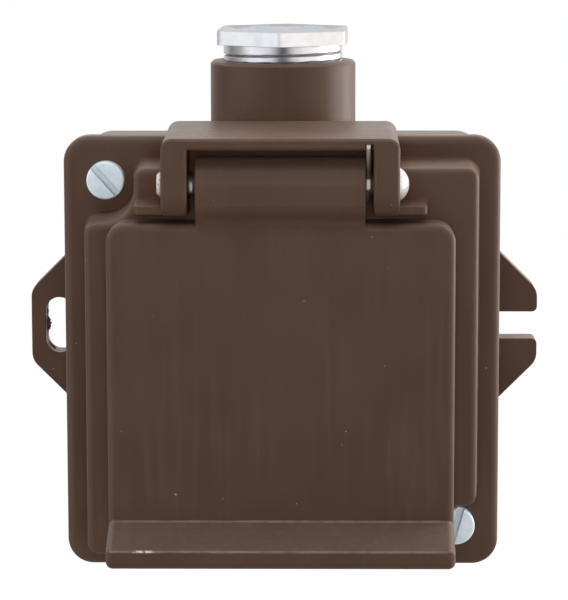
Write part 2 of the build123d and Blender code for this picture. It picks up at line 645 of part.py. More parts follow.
# Closing spring: coil round the pin inside the barrel, one leg in the hood's notch, one tail in the barrel
# The coil starts on top and ends in front after whole turns and three quarters, running up into the leg
COIL_FOOT = (SPRING_START_X, -PIN_DEPTH, PIN_Z)
LEG_FOOT = Vector(SPRING_LEG_X, -LEG_DEPTH, PIN_Z)
LEG_TOP = HOOD_ROOF + NOTCH_HEIGHT - SPRING_WIRE_R / 2
LEG_TIP = Vector(SPRING_LEG_X, -LEG_DEPTH - SPRING_LEG_LEAN, LEG_TOP)
LEG = LEG_TIP - LEG_FOOT
TAIL_FOOT = Vector(SPRING_START_X, -PIN_DEPTH, PIN_Z + SPRING_COIL_R)

with BuildPart() as hinge_spring:
    with BuildLine() as coil:
        Helix(
            SPRING_PITCH,
            SPRING_LENGTH,
            SPRING_COIL_R,
            center=COIL_FOOT,
            direction=(1, 0, 0),
            lefthand=True,
        )
    with BuildSketch(Plane(origin=coil.line @ 0, z_dir=coil.line % 0)):
        RegularPolygon(SPRING_WIRE_R, 8)
    sweep(path=coil.line, is_frenet=True)
    with BuildSketch(Plane(origin=LEG_FOOT, z_dir=LEG)):
        Circle(SPRING_WIRE_R)
    extrude(amount=LEG.length)
    with BuildSketch(Plane(origin=TAIL_FOOT, z_dir=(-1, 0, 0))):
        Circle(SPRING_WIRE_R)
    extrude(amount=SPRING_TAIL + SPRING_ROOM)
    with Locations(LEG_FOOT, TAIL_FOOT):
        Sphere(SPRING_WIRE_R * 1.05)
hinge_spring.part.label = "hinge_spring"
export_step(hinge_spring.part, "parts/hinge_spring.step")

# Gland nut: hexagonal head on a hollow threaded shank
with BuildPart() as gland_nut:
    with BuildSketch(seen_from_above(NUT_SEAT)):
        with Locations((0, -BOSS_AXIS)):
            RegularPolygon(NUT_ACROSS_FLATS / 2, 6, major_radius=False, rotation=90 + NUT_TURN)
    extrude(amount=NUT_HEAD)
    with BuildSketch(Plane.XZ.offset(BOSS_AXIS)):
        with BuildLine():
            flat = NUT_ACROSS_FLATS / 2
            corner = NUT_ACROSS_FLATS
            slope = math.tan(math.radians(30))
            Polyline(
                (flat - NUT_CHAMFER, NUT_TOP),
                (corner, NUT_TOP - (corner - flat + NUT_CHAMFER) * slope),
                (corner, NUT_TOP),
                close=True,
            )
        make_face()
    revolve(axis=Axis((0, -BOSS_AXIS, 0), (0, 0, 1)), mode=Mode.SUBTRACT)
    with BuildSketch(seen_from_above(NUT_FOOT)):
        with Locations((0, -BOSS_AXIS)):
            Circle(THREAD_R)
    extrude(amount=NUT_SEAT - NUT_FOOT)
    chamfer(faces().sort_by(Axis.Z)[0].edges(), length=SHANK_CHAMFER)
    with BuildSketch(seen_from_above(NUT_FOOT)):
        with Locations((0, -BOSS_AXIS)):
            Circle(CABLE_R)
    extrude(amount=NUT_TOP - NUT_FOOT, mode=Mode.SUBTRACT)
    top_circles = edges().filter_by(GeomType.CIRCLE).group_by(Axis.Z)[-1]
    chamfer(top_circles.sort_by(SortBy.RADIUS)[0], length=SHANK_CHAMFER)
gland_nut.part.label = "gland_nut"
export_step(gland_nut.part, "parts/gland_nut.step")

# Pressure washer under the nut
with BuildPart() as gland_washer:
    with BuildSketch(seen_from_above(WASHER_FOOT)):
        with Locations((0, -BOSS_AXIS)):
            Circle(THREAD_R - GLAND_PLAY)
            Circle(CABLE_R + GLAND_PLAY, mode=Mode.SUBTRACT)
    extrude(amount=WASHER_THICKNESS)
gland_washer.part.label = "gland_washer"
export_step(gland_washer.part, "parts/gland_washer.step")

# Rubber ring that the nut squeezes onto the cable
with BuildPart() as gland_seal:
    with BuildSketch(seen_from_above(GLAND_SHOULDER)):
        with Locations((0, -BOSS_AXIS)):
            Circle(THREAD_R - GLAND_PLAY)
            Circle(CABLE_R + GLAND_PLAY, mode=Mode.SUBTRACT)
    extrude(amount=SEAL_HEIGHT)
gland_seal.part.label = "gland_seal"
export_step(gland_seal.part, "parts/gland_seal.step")

# Plug recess: cup with two guide ribs, pin holes, slots for the earth clips and a shoulder behind the cover
SEAL_SEAT = PLATEAU_BACK - WELL_SEAL_THICKNESS

with BuildPart() as socket_well:
    with BuildSketch(facing(CARRIER_FRONT)):
        with Locations((0, SOCKET_Z)):
            Circle(WELL_OUTSIDE_R)
    extrude(amount=PLATEAU_FRONT - CARRIER_FRONT)
    with BuildSketch(facing(SEAL_SEAT)):
        with Locations((0, SOCKET_Z)):
            Circle(SHOULDER_R)
    extrude(amount=-WELL_SHOULDER)
    with BuildSketch(facing(WELL_FLOOR_FRONT)):
        with Locations((0, SOCKET_Z)):
            Circle(WELL_R)
    extrude(amount=WELL_DEPTH, mode=Mode.SUBTRACT)
    with BuildSketch(facing(WELL_FLOOR_FRONT)):
        for side in (-1, 1):
            with Locations((side * (WELL_R - KEY_RISE / 2), SOCKET_Z)):
                Rectangle(KEY_RISE + WELL_WALL, KEY_WIDTH)
    extrude(amount=WELL_DEPTH - KEY_SETBACK)
    with BuildSketch(facing(CARRIER_FRONT)):
        with Locations(*PIN_PLACES):
            Circle(PIN_HOLE_R)
        for side in (-1, 1):
            with Locations((0, SOCKET_Z + side * EARTH_REACH)):
                Rectangle(EARTH_WIDTH + 2 * POCKET_CLEARANCE, EARTH_THICKNESS + 2 * POCKET_CLEARANCE)
        with Locations((0, SOCKET_Z)):
            Circle(CENTRE_SCREW_R + SCREW_CLEARANCE)
    extrude(amount=WELL_FLOOR, mode=Mode.SUBTRACT)
    with BuildSketch(facing(WELL_FLOOR_FRONT)):
        with Locations((0, SOCKET_Z)):
            Circle(CENTRE_HEAD_R + SCREW_CLEARANCE)
    extrude(amount=-CENTRE_HEAD_R, taper=45, mode=Mode.SUBTRACT)
socket_well.part.label = "socket_well"
export_step(socket_well.part, "parts/socket_well.step")

# Sealing ring between the recess and the cover
with BuildPart() as well_seal:
    with BuildSketch(facing(SEAL_SEAT)):
        with Locations((0, SOCKET_Z)):
            Circle(SHOULDER_R)
            Circle(WELL_OUTSIDE_R + WELL_CLEARANCE, mode=Mode.SUBTRACT)
    extrude(amount=WELL_SEAL_THICKNESS)
well_seal.part.label = "well_seal"
export_step(well_seal.part, "parts/well_seal.step")

# Countersunk screw in the middle of the recess
with BuildPart() as well_screw:
    with BuildSketch(facing(WELL_FLOOR_FRONT)):
        with Locations((0, SOCKET_Z)):
            Circle(CENTRE_HEAD_R)
    extrude(amount=-(CENTRE_HEAD_R - CENTRE_SCREW_R), taper=45)
    with BuildSketch(facing(WELL_FLOOR_FRONT - CENTRE_HEAD_R + CENTRE_SCREW_R)):
        with Locations((0, SOCKET_Z)):
            Circle(CENTRE_SCREW_R)
    extrude(amount=CONTACT_SEAT - WELL_FLOOR_FRONT + CENTRE_HEAD_R - CENTRE_SCREW_R)
    with BuildSketch(facing(WELL_FLOOR_FRONT)):
        with Locations((0, SOCKET_Z)):
            Rectangle(3 * CENTRE_HEAD_R, SMALL_SLOT)
    extrude(amount=-SMALL_SLOT_DEPTH, mode=Mode.SUBTRACT)
well_screw.part.label = "well_screw"
export_step(well_screw.part, "parts/well_screw.step")

# Carrier: block with pockets for the two contacts, a channel for the earth bar and gaps for the wires
POCKET_INNER = PIN_PITCH / 2 - CONTACT_R - CONTACT_WALL - POCKET_CLEARANCE
POCKET_OUTER = TERMINAL_AT + TERMINAL_WIDTH / 2 + POCKET_CLEARANCE
CARRIER_HEAD_SEAT = CARRIER_FRONT - 2 * SMALL_HEAD

with BuildPart() as contact_carrier:
    with BuildSketch(facing(CARRIER_BACK)):
        with Locations((0, SOCKET_Z)):
            RectangleRounded(CARRIER_WIDTH, CARRIER_HEIGHT, CARRIER_CORNER)
    extrude(amount=CARRIER_THICKNESS)
    with BuildSketch(facing(CONTACT_SEAT)):
        for side in (-1, 1):
            with Locations((side * (POCKET_INNER + POCKET_OUTER) / 2, SOCKET_Z)):
                Rectangle(POCKET_OUTER - POCKET_INNER, TERMINAL_HEIGHT + 2 * POCKET_CLEARANCE)
            with Locations((side * TERMINAL_AT, SOCKET_Z)):
                Rectangle(3 * WIRE_R, CARRIER_HEIGHT)
    extrude(amount=CARRIER_THICKNESS, mode=Mode.SUBTRACT)
    with BuildSketch(facing(EARTH_SEAT)):
        with Locations((0, SOCKET_Z)):
            Rectangle(EARTH_WIDTH + 2 * POCKET_CLEARANCE, CARRIER_HEIGHT)
    extrude(amount=CARRIER_THICKNESS, mode=Mode.SUBTRACT)
    with BuildSketch(facing(EARTH_SEAT)):
        with Locations((0, SOCKET_Z)):
            Circle(CENTRE_SCREW_R + SCREW_CLEARANCE)
        with Locations((0, SOCKET_Z - EARTH_SCREW_DROP)):
            Circle(SMALL_SCREW_R + SCREW_CLEARANCE)
    extrude(amount=CONTACT_SEAT - EARTH_SEAT, mode=Mode.SUBTRACT)
    with BuildSketch(facing(CARRIER_HEAD_SEAT)):
        with Locations(*CARRIER_SCREW_PLACES):
            Circle(SMALL_HEAD_R + POCKET_CLEARANCE)
    extrude(amount=CARRIER_THICKNESS, mode=Mode.SUBTRACT)
    with BuildSketch(facing(CARRIER_BACK)):
        with Locations(*CARRIER_SCREW_PLACES):
            Circle(SMALL_SCREW_R + SCREW_CLEARANCE)
    extrude(amount=CARRIER_THICKNESS, mode=Mode.SUBTRACT)
contact_carrier.part.label = "contact_carrier"
export_step(contact_carrier.part, "parts/contact_carrier.step")


def slotted_screws(places, seat, foot):
    """Small slotted screws with their heads on one seat and their points at one foot."""
    with BuildPart() as screws:
        with BuildSketch(facing(seat)):
            with Locations(*places):
                Circle(SMALL_HEAD_R)
        extrude(amount=SMALL_HEAD)
        with BuildSketch(facing(seat)):
            with Locations(*places):
                Circle(SMALL_SCREW_R)
        extrude(amount=foot - seat)
        with BuildSketch(facing(seat + SMALL_HEAD)):
            with Locations(*places):
                Rectangle(3 * SMALL_HEAD_R, SMALL_SLOT)
        extrude(amount=-SMALL_SLOT_DEPTH, mode=Mode.SUBTRACT)
    return screws.part


carrier_screws = slotted_screws(CARRIER_SCREW_PLACES, CARRIER_HEAD_SEAT, BACK_WALL + SMALL_HEAD)
carrier_screws.label = "carrier_screws"
export_step(carrier_screws, "parts/carrier_screws.step")

# Live contacts: slit sleeve for the plug's pin, strap and terminal block with its wire hole
TERMINAL_FRONT = CONTACT_SEAT + TERMINAL_DEPTH
CONTACT_OUTSIDE_R = CONTACT_R + CONTACT_WALL
WIRE_DEPTH = CONTACT_SEAT + STRAP_THICKNESS + WIRE_R

for name, side in (("left_contact", -1), ("right_contact", 1)):
    with BuildPart() as contact:
        with BuildSketch(facing(CONTACT_SEAT)):
            with Locations((side * PIN_PITCH / 2, SOCKET_Z)):
                Circle(CONTACT_OUTSIDE_R)
        extrude(amount=CARRIER_FRONT - CONTACT_SEAT - POCKET_CLEARANCE)
        with BuildSketch(facing(CONTACT_SEAT)):
            with Locations((side * (PIN_PITCH / 2 + TERMINAL_AT) / 2, SOCKET_Z)):
                Rectangle(TERMINAL_SPACING, TERMINAL_HEIGHT / 2)
        extrude(amount=STRAP_THICKNESS)
        with BuildSketch(facing(CONTACT_SEAT)):
            with Locations((side * TERMINAL_AT, SOCKET_Z)):
                Rectangle(TERMINAL_WIDTH, TERMINAL_HEIGHT)
        extrude(amount=TERMINAL_DEPTH)
        with BuildSketch(facing(CONTACT_SEAT)):
            with Locations((side * PIN_PITCH / 2, SOCKET_Z)):
                Circle(CONTACT_R)
            with Locations((side * (PIN_PITCH / 2 - CONTACT_R), SOCKET_Z)):
                Rectangle(2 * CONTACT_R, CONTACT_SLIT)
        extrude(amount=CARRIER_THICKNESS, mode=Mode.SUBTRACT)
        with BuildSketch(facing(TERMINAL_FRONT)):
            with Locations((side * TERMINAL_AT, SOCKET_Z)):
                Circle(SMALL_SCREW_R + SCREW_CLEARANCE)
        extrude(amount=WIRE_DEPTH - TERMINAL_FRONT, mode=Mode.SUBTRACT)
        with BuildSketch(seen_from_above(SOCKET_Z - TERMINAL_HEIGHT)):
            with Locations((side * TERMINAL_AT, -WIRE_DEPTH)):
                Circle(WIRE_R)
        extrude(amount=2 * TERMINAL_HEIGHT, mode=Mode.SUBTRACT)
    contact.part.label = name
    export_step(contact.part, f"parts/{name}.step")

terminal_screws = slotted_screws(
    [(-TERMINAL_AT, SOCKET_Z), (TERMINAL_AT, SOCKET_Z)], TERMINAL_FRONT, WIRE_DEPTH + WIRE_R / 2
)
terminal_screws.label = "terminal_screws"
export_step(terminal_screws, "parts/terminal_screws.step")

# Earth bar: strip bent into two sprung clips at the top and bottom of the recess
CLIP_TIP = PLATEAU_FRONT - EARTH_SETBACK
CLIP_BULGE = CLIP_TIP - 2 * EARTH_BULGE
CLIP_FOOT = CLIP_BULGE - 3 * EARTH_BULGE
BAR_DEPTH = EARTH_SEAT + EARTH_THICKNESS / 2

with BuildPart() as earth_stirrup:
    with BuildSketch(Plane.YZ):
        with BuildLine():
            FilletPolyline(
                (-CLIP_TIP, SOCKET_Z + EARTH_REACH),
                (-CLIP_BULGE, SOCKET_Z + EARTH_REACH - EARTH_BULGE),
                (-CLIP_FOOT, SOCKET_Z + EARTH_REACH),
                (-BAR_DEPTH, SOCKET_Z + EARTH_REACH),
                (-BAR_DEPTH, SOCKET_Z - EARTH_REACH),
                (-CLIP_FOOT, SOCKET_Z - EARTH_REACH),
                (-CLIP_BULGE, SOCKET_Z - EARTH_REACH + EARTH_BULGE),
                (-CLIP_TIP, SOCKET_Z - EARTH_REACH),
                radius=EARTH_BEND,
            )
        trace(line_width=EARTH_THICKNESS)
    extrude(amount=EARTH_WIDTH / 2, both=True)
    with BuildSketch(facing(EARTH_SEAT)):
        with Locations((0, SOCKET_Z)):
            Circle(CENTRE_SCREW_R + SCREW_CLEARANCE)
        with Locations((0, SOCKET_Z - EARTH_SCREW_DROP)):
            Circle(SMALL_SCREW_R + SCREW_CLEARANCE)
    extrude(amount=EARTH_THICKNESS, mode=Mode.SUBTRACT)
earth_stirrup.part.label = "earth_stirrup"
export_step(earth_stirrup.part, "parts/earth_stirrup.step")

earth_screw = slotted_screws(
    [(0, SOCKET_Z - EARTH_SCREW_DROP)], EARTH_SEAT + EARTH_THICKNESS, CONTACT_SEAT + SMALL_HEAD
)
earth_screw.label = "earth_screw"
export_step(earth_screw, "parts/earth_screw.step")
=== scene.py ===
"""Weatherproof socket outlet: finishes, worked details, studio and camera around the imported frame."""

from __future__ import annotations

import json
import logging
import math
from collections.abc import Callable, Sequence
from dataclasses import dataclass
from enum import Enum

import bmesh
import bpy
from bpy.types import ColorRamp, Material, Mesh, Node, NodeSocket, NodeTree, Object
from mathutils import Matrix, Vector

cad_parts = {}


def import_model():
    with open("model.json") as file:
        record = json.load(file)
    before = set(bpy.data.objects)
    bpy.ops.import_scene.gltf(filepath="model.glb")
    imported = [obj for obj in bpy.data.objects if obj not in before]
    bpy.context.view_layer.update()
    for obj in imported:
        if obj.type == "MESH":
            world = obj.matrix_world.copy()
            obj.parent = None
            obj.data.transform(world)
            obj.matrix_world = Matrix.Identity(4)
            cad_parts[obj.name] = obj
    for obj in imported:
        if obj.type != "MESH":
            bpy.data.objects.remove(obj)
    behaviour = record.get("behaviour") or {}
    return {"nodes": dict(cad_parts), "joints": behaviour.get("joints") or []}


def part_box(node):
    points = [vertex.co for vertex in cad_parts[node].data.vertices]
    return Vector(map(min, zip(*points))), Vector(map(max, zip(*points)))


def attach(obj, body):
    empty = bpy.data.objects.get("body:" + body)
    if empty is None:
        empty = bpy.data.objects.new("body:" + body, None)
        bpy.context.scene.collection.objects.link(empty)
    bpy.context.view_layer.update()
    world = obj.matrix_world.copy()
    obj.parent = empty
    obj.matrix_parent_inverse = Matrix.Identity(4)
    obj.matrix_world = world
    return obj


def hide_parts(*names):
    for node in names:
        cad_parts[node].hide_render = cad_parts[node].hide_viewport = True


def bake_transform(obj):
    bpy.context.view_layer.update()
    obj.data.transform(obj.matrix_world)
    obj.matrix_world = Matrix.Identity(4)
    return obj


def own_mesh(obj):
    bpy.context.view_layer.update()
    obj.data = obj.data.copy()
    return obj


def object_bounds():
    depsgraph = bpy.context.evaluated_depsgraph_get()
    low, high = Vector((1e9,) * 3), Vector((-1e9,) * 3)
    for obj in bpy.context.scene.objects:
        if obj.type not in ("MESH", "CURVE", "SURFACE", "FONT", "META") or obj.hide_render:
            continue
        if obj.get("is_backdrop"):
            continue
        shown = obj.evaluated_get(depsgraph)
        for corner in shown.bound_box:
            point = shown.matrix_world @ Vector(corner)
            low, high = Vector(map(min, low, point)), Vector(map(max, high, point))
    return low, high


LOG = logging.getLogger("socket")
MM = 0.001
SMOOTH_ANGLE = math.radians(32)
RAY_SAMPLES = 6
WELD = 1e-7

Colour = tuple[float, float, float]
Place = tuple[float, float, float]
Ends = tuple[float, float]
Ring = Callable[[float], tuple[float, float]]
Sockets = dict[object, object]

WHITE: Colour = (1.0, 1.0, 1.0)
WARM: Colour = (1.0, 0.98, 0.96)
COOL: Colour = (0.99, 0.99, 1.0)


def srgb(red: int, green: int, blue: int) -> Colour:
    """Linear colour of an 8-bit display colour."""
    def linear(channel: int) -> float:
        """Linear light of one channel."""
        share = channel / 255
        return share / 12.92 if share <= 0.04045 else ((share + 0.055) / 1.055) ** 2.4

    return linear(red), linear(green), linear(blue)


def shaded(colour: Colour, share: float) -> Colour:
    """A colour at a share of its light."""
    red, green, blue = colour
    return share * red, share * green, share * blue


class Body(Enum):
    """The bodies that the pieces made here ride on."""

    HOUSING = "housing"
    LID = "lid"
    NUT = "nut"


class Slot(Enum):
    """The record's material slots."""

    PLASTIC = "brown_moulding"
    CARRIER = "carrier_moulding"
    RUBBER = "black_rubber"
    ZINC = "zinc_steel"
    NICKEL = "nickel_plate"
    BRASS = "contact_brass"


class Value:
    """A number socket of a node tree. Arithmetic on it adds Math nodes to that tree."""

    def __init__(self, graph: Graph, socket: NodeSocket) -> None:
        """Wrap one socket of a graph."""
        self.graph = graph
        self.socket = socket

    def math(self, operation: str, first: object, second: object = 0.0) -> Value:
        """Add one Math node.

        Args:
            operation: The Math node's operation.
            first: A value or a number.
            second: A value or a number, where the operation has two.

        Returns:
            The node's result.
        """
        return self.graph.value("ShaderNodeMath", {0: first, 1: second}, operation=operation)

    def __add__(self, other: object) -> Value:
        """Sum."""
        return self.math("ADD", self, other)

    def __sub__(self, other: object) -> Value:
        """Difference."""
        return self.math("SUBTRACT", self, other)

    def __rsub__(self, other: object) -> Value:
        """Difference from a number on the left."""
        return self.math("SUBTRACT", other, self)

    def __mul__(self, other: object) -> Value:
        """Product."""
        return self.math("MULTIPLY", self, other)

    def __pow__(self, other: object) -> Value:
        """Power."""
        return self.math("POWER", self, other)

    __radd__ = __add__
    __rmul__ = __mul__

    def size(self) -> Value:
        """The value without its sign."""
        return self.math("ABSOLUTE", self)

    def most(self, other: object) -> Value:
        """The larger of two values."""
        return self.math("MAXIMUM", self, other)

    def above(self, edge: float) -> Value:
        """1 where the value is above an edge, else 0."""
        return self.math("GREATER_THAN", self, edge)

    def rise(self, low: float, high: float) -> Value:
        """Smooth step from 0 at low to 1 at high."""
        sockets = {"Value": self, "From Min": low, "From Max": high}
        return self.graph.value("ShaderNodeMapRange", sockets, interpolation_type="SMOOTHSTEP")

    def near(self, at: float, half: float, core: float) -> Value:
        """1 at a place and 0 from a half width away, full over a core share of the squared width."""
        return 1 - ((self - at) ** 2).rise(core * half**2, half**2)


class Graph:
    """A node tree that is filled by expressions."""

    def __init__(self, tree: NodeTree) -> None:
        """Wrap a tree."""
        self.tree = tree

    def node(self, kind: str, sockets: Sockets | None = None, **settings: object) -> Node:
        """Add a node.

        Args:
            kind: The node's type.
            sockets: Values or links for its inputs, by name or number.
            settings: Its properties, which are set first, with a ramp's colours as stops.

        Returns:
            The node.
        """
        made = self.tree.nodes.new(kind)
        for name, setting in settings.items():
            if name == "stops":
                self._stops(made.color_ramp, setting)
            else:
                setattr(made, name, setting)
        for name, given in (sockets or {}).items():
            self.feed(made.inputs[name], given)
        return made

    @staticmethod
    def _stops(ramp: ColorRamp, stops: Sequence[tuple[float, Colour]]) -> None:
        """Set a ramp's colours."""
        while len(ramp.elements) < len(stops):
            ramp.elements.new(1.0)
        for element, (place, colour) in zip(ramp.elements, stops):
            element.position = place
            element.color = (*colour, 1.0)

    def feed(self, socket: NodeSocket, given: object) -> None:
        """Link a value, a socket or a node's first output to an input, or set the input itself.

        Args:
            socket: The input.
            given: What is linked to it, or its own number or colour.
        """
        if isinstance(given, Value):
            given = given.socket
        elif isinstance(given, Node):
            given = given.outputs[0]
        if isinstance(given, NodeSocket):
            self.tree.links.new(given, socket)
        elif socket.type == "RGBA":
            socket.default_value = (*given, 1.0)
        else:
            socket.default_value = given

    def value(self, kind: str, sockets: Sockets, output: object = 0, **settings: object) -> Value:
        """Add a node and return one of its outputs as a number."""
        return Value(self, self.node(kind, sockets, **settings).outputs[output])

    def blend(self, share: object, first: object, second: object) -> NodeSocket:
        """Mix two colours.

        Args:
            share: How much of the second colour shows.
            first: A colour or a colour socket.
            second: A colour or a colour socket.

        Returns:
            The mixed colour's socket.
        """
        mixed = self.node("ShaderNodeMix", {0: share, 6: first, 7: second}, data_type="RGBA")
        return mixed.outputs[2]

    def shaders(self, share: object, first: Node, second: Node) -> Node:
        """Mix two shaders, the second by a share."""
        return self.node("ShaderNodeMixShader", {0: share, 1: first, 2: second})

    def axes(self, vector: NodeSocket) -> tuple[Value, ...]:
        """The three parts of a vector."""
        parts = self.node("ShaderNodeSeparateXYZ", {0: vector})
        return tuple(Value(self, parts.outputs[axis]) for axis in "XYZ")

    def vector(self, x: object = 0.0, y: object = 0.0, z: object = 0.0) -> Node:
        """A vector from its three parts."""
        return self.node("ShaderNodeCombineXYZ", {0: x, 1: y, 2: z})


@dataclass(frozen=True)
class Patches:
    """Soft patches: the noise's cells per millimetre and detail, and its level at their rim and core."""

    scale: float
    detail: float
    rim: float
    core: float


class Surface(Graph):
    """The shader tree of one material, with the textures that the finishes share."""

    def __init__(self, name: str) -> None:
        """Start a material with one Principled shader."""
        self.material = bpy.data.materials.new(name)
        self.material.use_nodes = True
        super().__init__(self.material.node_tree)
        self.shader = next(node for node in self.tree.nodes if node.type == "BSDF_PRINCIPLED")
        place = self.node("ShaderNodeTexCoord").outputs["Object"]
        scaled = self.node("ShaderNodeVectorMath", {0: place, "Scale": 1 / MM}, operation="SCALE")
        self.millimetres = scaled.outputs[0]

    def stretched(self, scale: Place) -> NodeSocket:
        """Coordinates in millimetres, scaled along each axis."""
        return self.node("ShaderNodeMapping", {"Vector": self.millimetres, "Scale": scale}).outputs[0]

    def noise(self, scale: float, detail: float = 2.0, vector: object = None) -> Value:
        """Soft noise from 0 to 1, with its scale in cells per millimetre."""
        sockets = {"Vector": vector or self.millimetres, "Scale": scale, "Detail": detail}
        return self.value("ShaderNodeTexNoise", sockets)

    def patches(self, kind: Patches, vector: object = None) -> Value:
        """Noise cut to soft patches: 1 in their core, 0 past their rim."""
        return self.noise(kind.scale, kind.detail, vector).rise(kind.rim, kind.core)

    def specks(self, spacing: float, radius: float, share: float) -> Value:
        """Scattered round specks.

        Args:
            spacing: Millimetres between the places where a speck may lie.
            radius: A speck's radius in millimetres.
            share: The share of the places that hold one.

        Returns:
            1 on a speck, else 0.
        """
        cells = self.node("ShaderNodeTexVoronoi", {"Vector": self.millimetres, "Scale": 1 / spacing})
        chance = self.value("ShaderNodeSeparateColor", {0: cells.outputs["Color"]})
        near = 1 - Value(self, cells.outputs["Distance"]).rise(0.5 * radius / spacing, radius / spacing)
        return near * chance.above(1 - share)

    def rounded_normal(self, radius: float) -> NodeSocket:
        """Normal of the surface with its edges rounded to a radius in millimetres."""
        return self.node("ShaderNodeBevel", {"Radius": radius * MM}, samples=RAY_SAMPLES).outputs[0]

    def edge_share(self, normal: NodeSocket) -> Value:
        """How much a rounded normal leaves the true one: 0 on a flat face, more on an edge."""
        true_normal = self.node("ShaderNodeNewGeometry").outputs["Normal"]
        sockets = {0: normal, 1: true_normal}
        return 1 - self.value("ShaderNodeVectorMath", sockets, "Value", operation="DOT_PRODUCT")

    def facing_up(self) -> Value:
        """How much a face looks up: 1 on a level top, 0 on a wall."""
        true_normal = self.node("ShaderNodeNewGeometry").outputs["True Normal"]
        return self.value("ShaderNodeSeparateXYZ", {0: true_normal}, "Z")

    def crevice(self, reach: float) -> Value:
        """How much a place is shut in by its own piece within a reach in millimetres: 0 in the open."""
        settings = {"samples": RAY_SAMPLES, "only_local": True}
        return 1 - self.value("ShaderNodeAmbientOcclusion", {"Distance": reach * MM}, "AO", **settings)

    def bumped(self, height: Value, depth: float, normal: object = None) -> NodeSocket:
        """Normal bumped by a height from 0 to 1 that stands for a depth in millimetres."""
        sockets = {"Height": height, "Distance": depth * MM, "Strength": 1.0}
        if normal is not None:
            sockets["Normal"] = normal
        return self.node("ShaderNodeBump", sockets).outputs[0]

    def set(self, **sockets: object) -> None:
        """Feed the shader's sockets, named with underscores for spaces."""
        for name, given in sockets.items():
            self.feed(self.shader.inputs[name.replace("_", " ")], given)


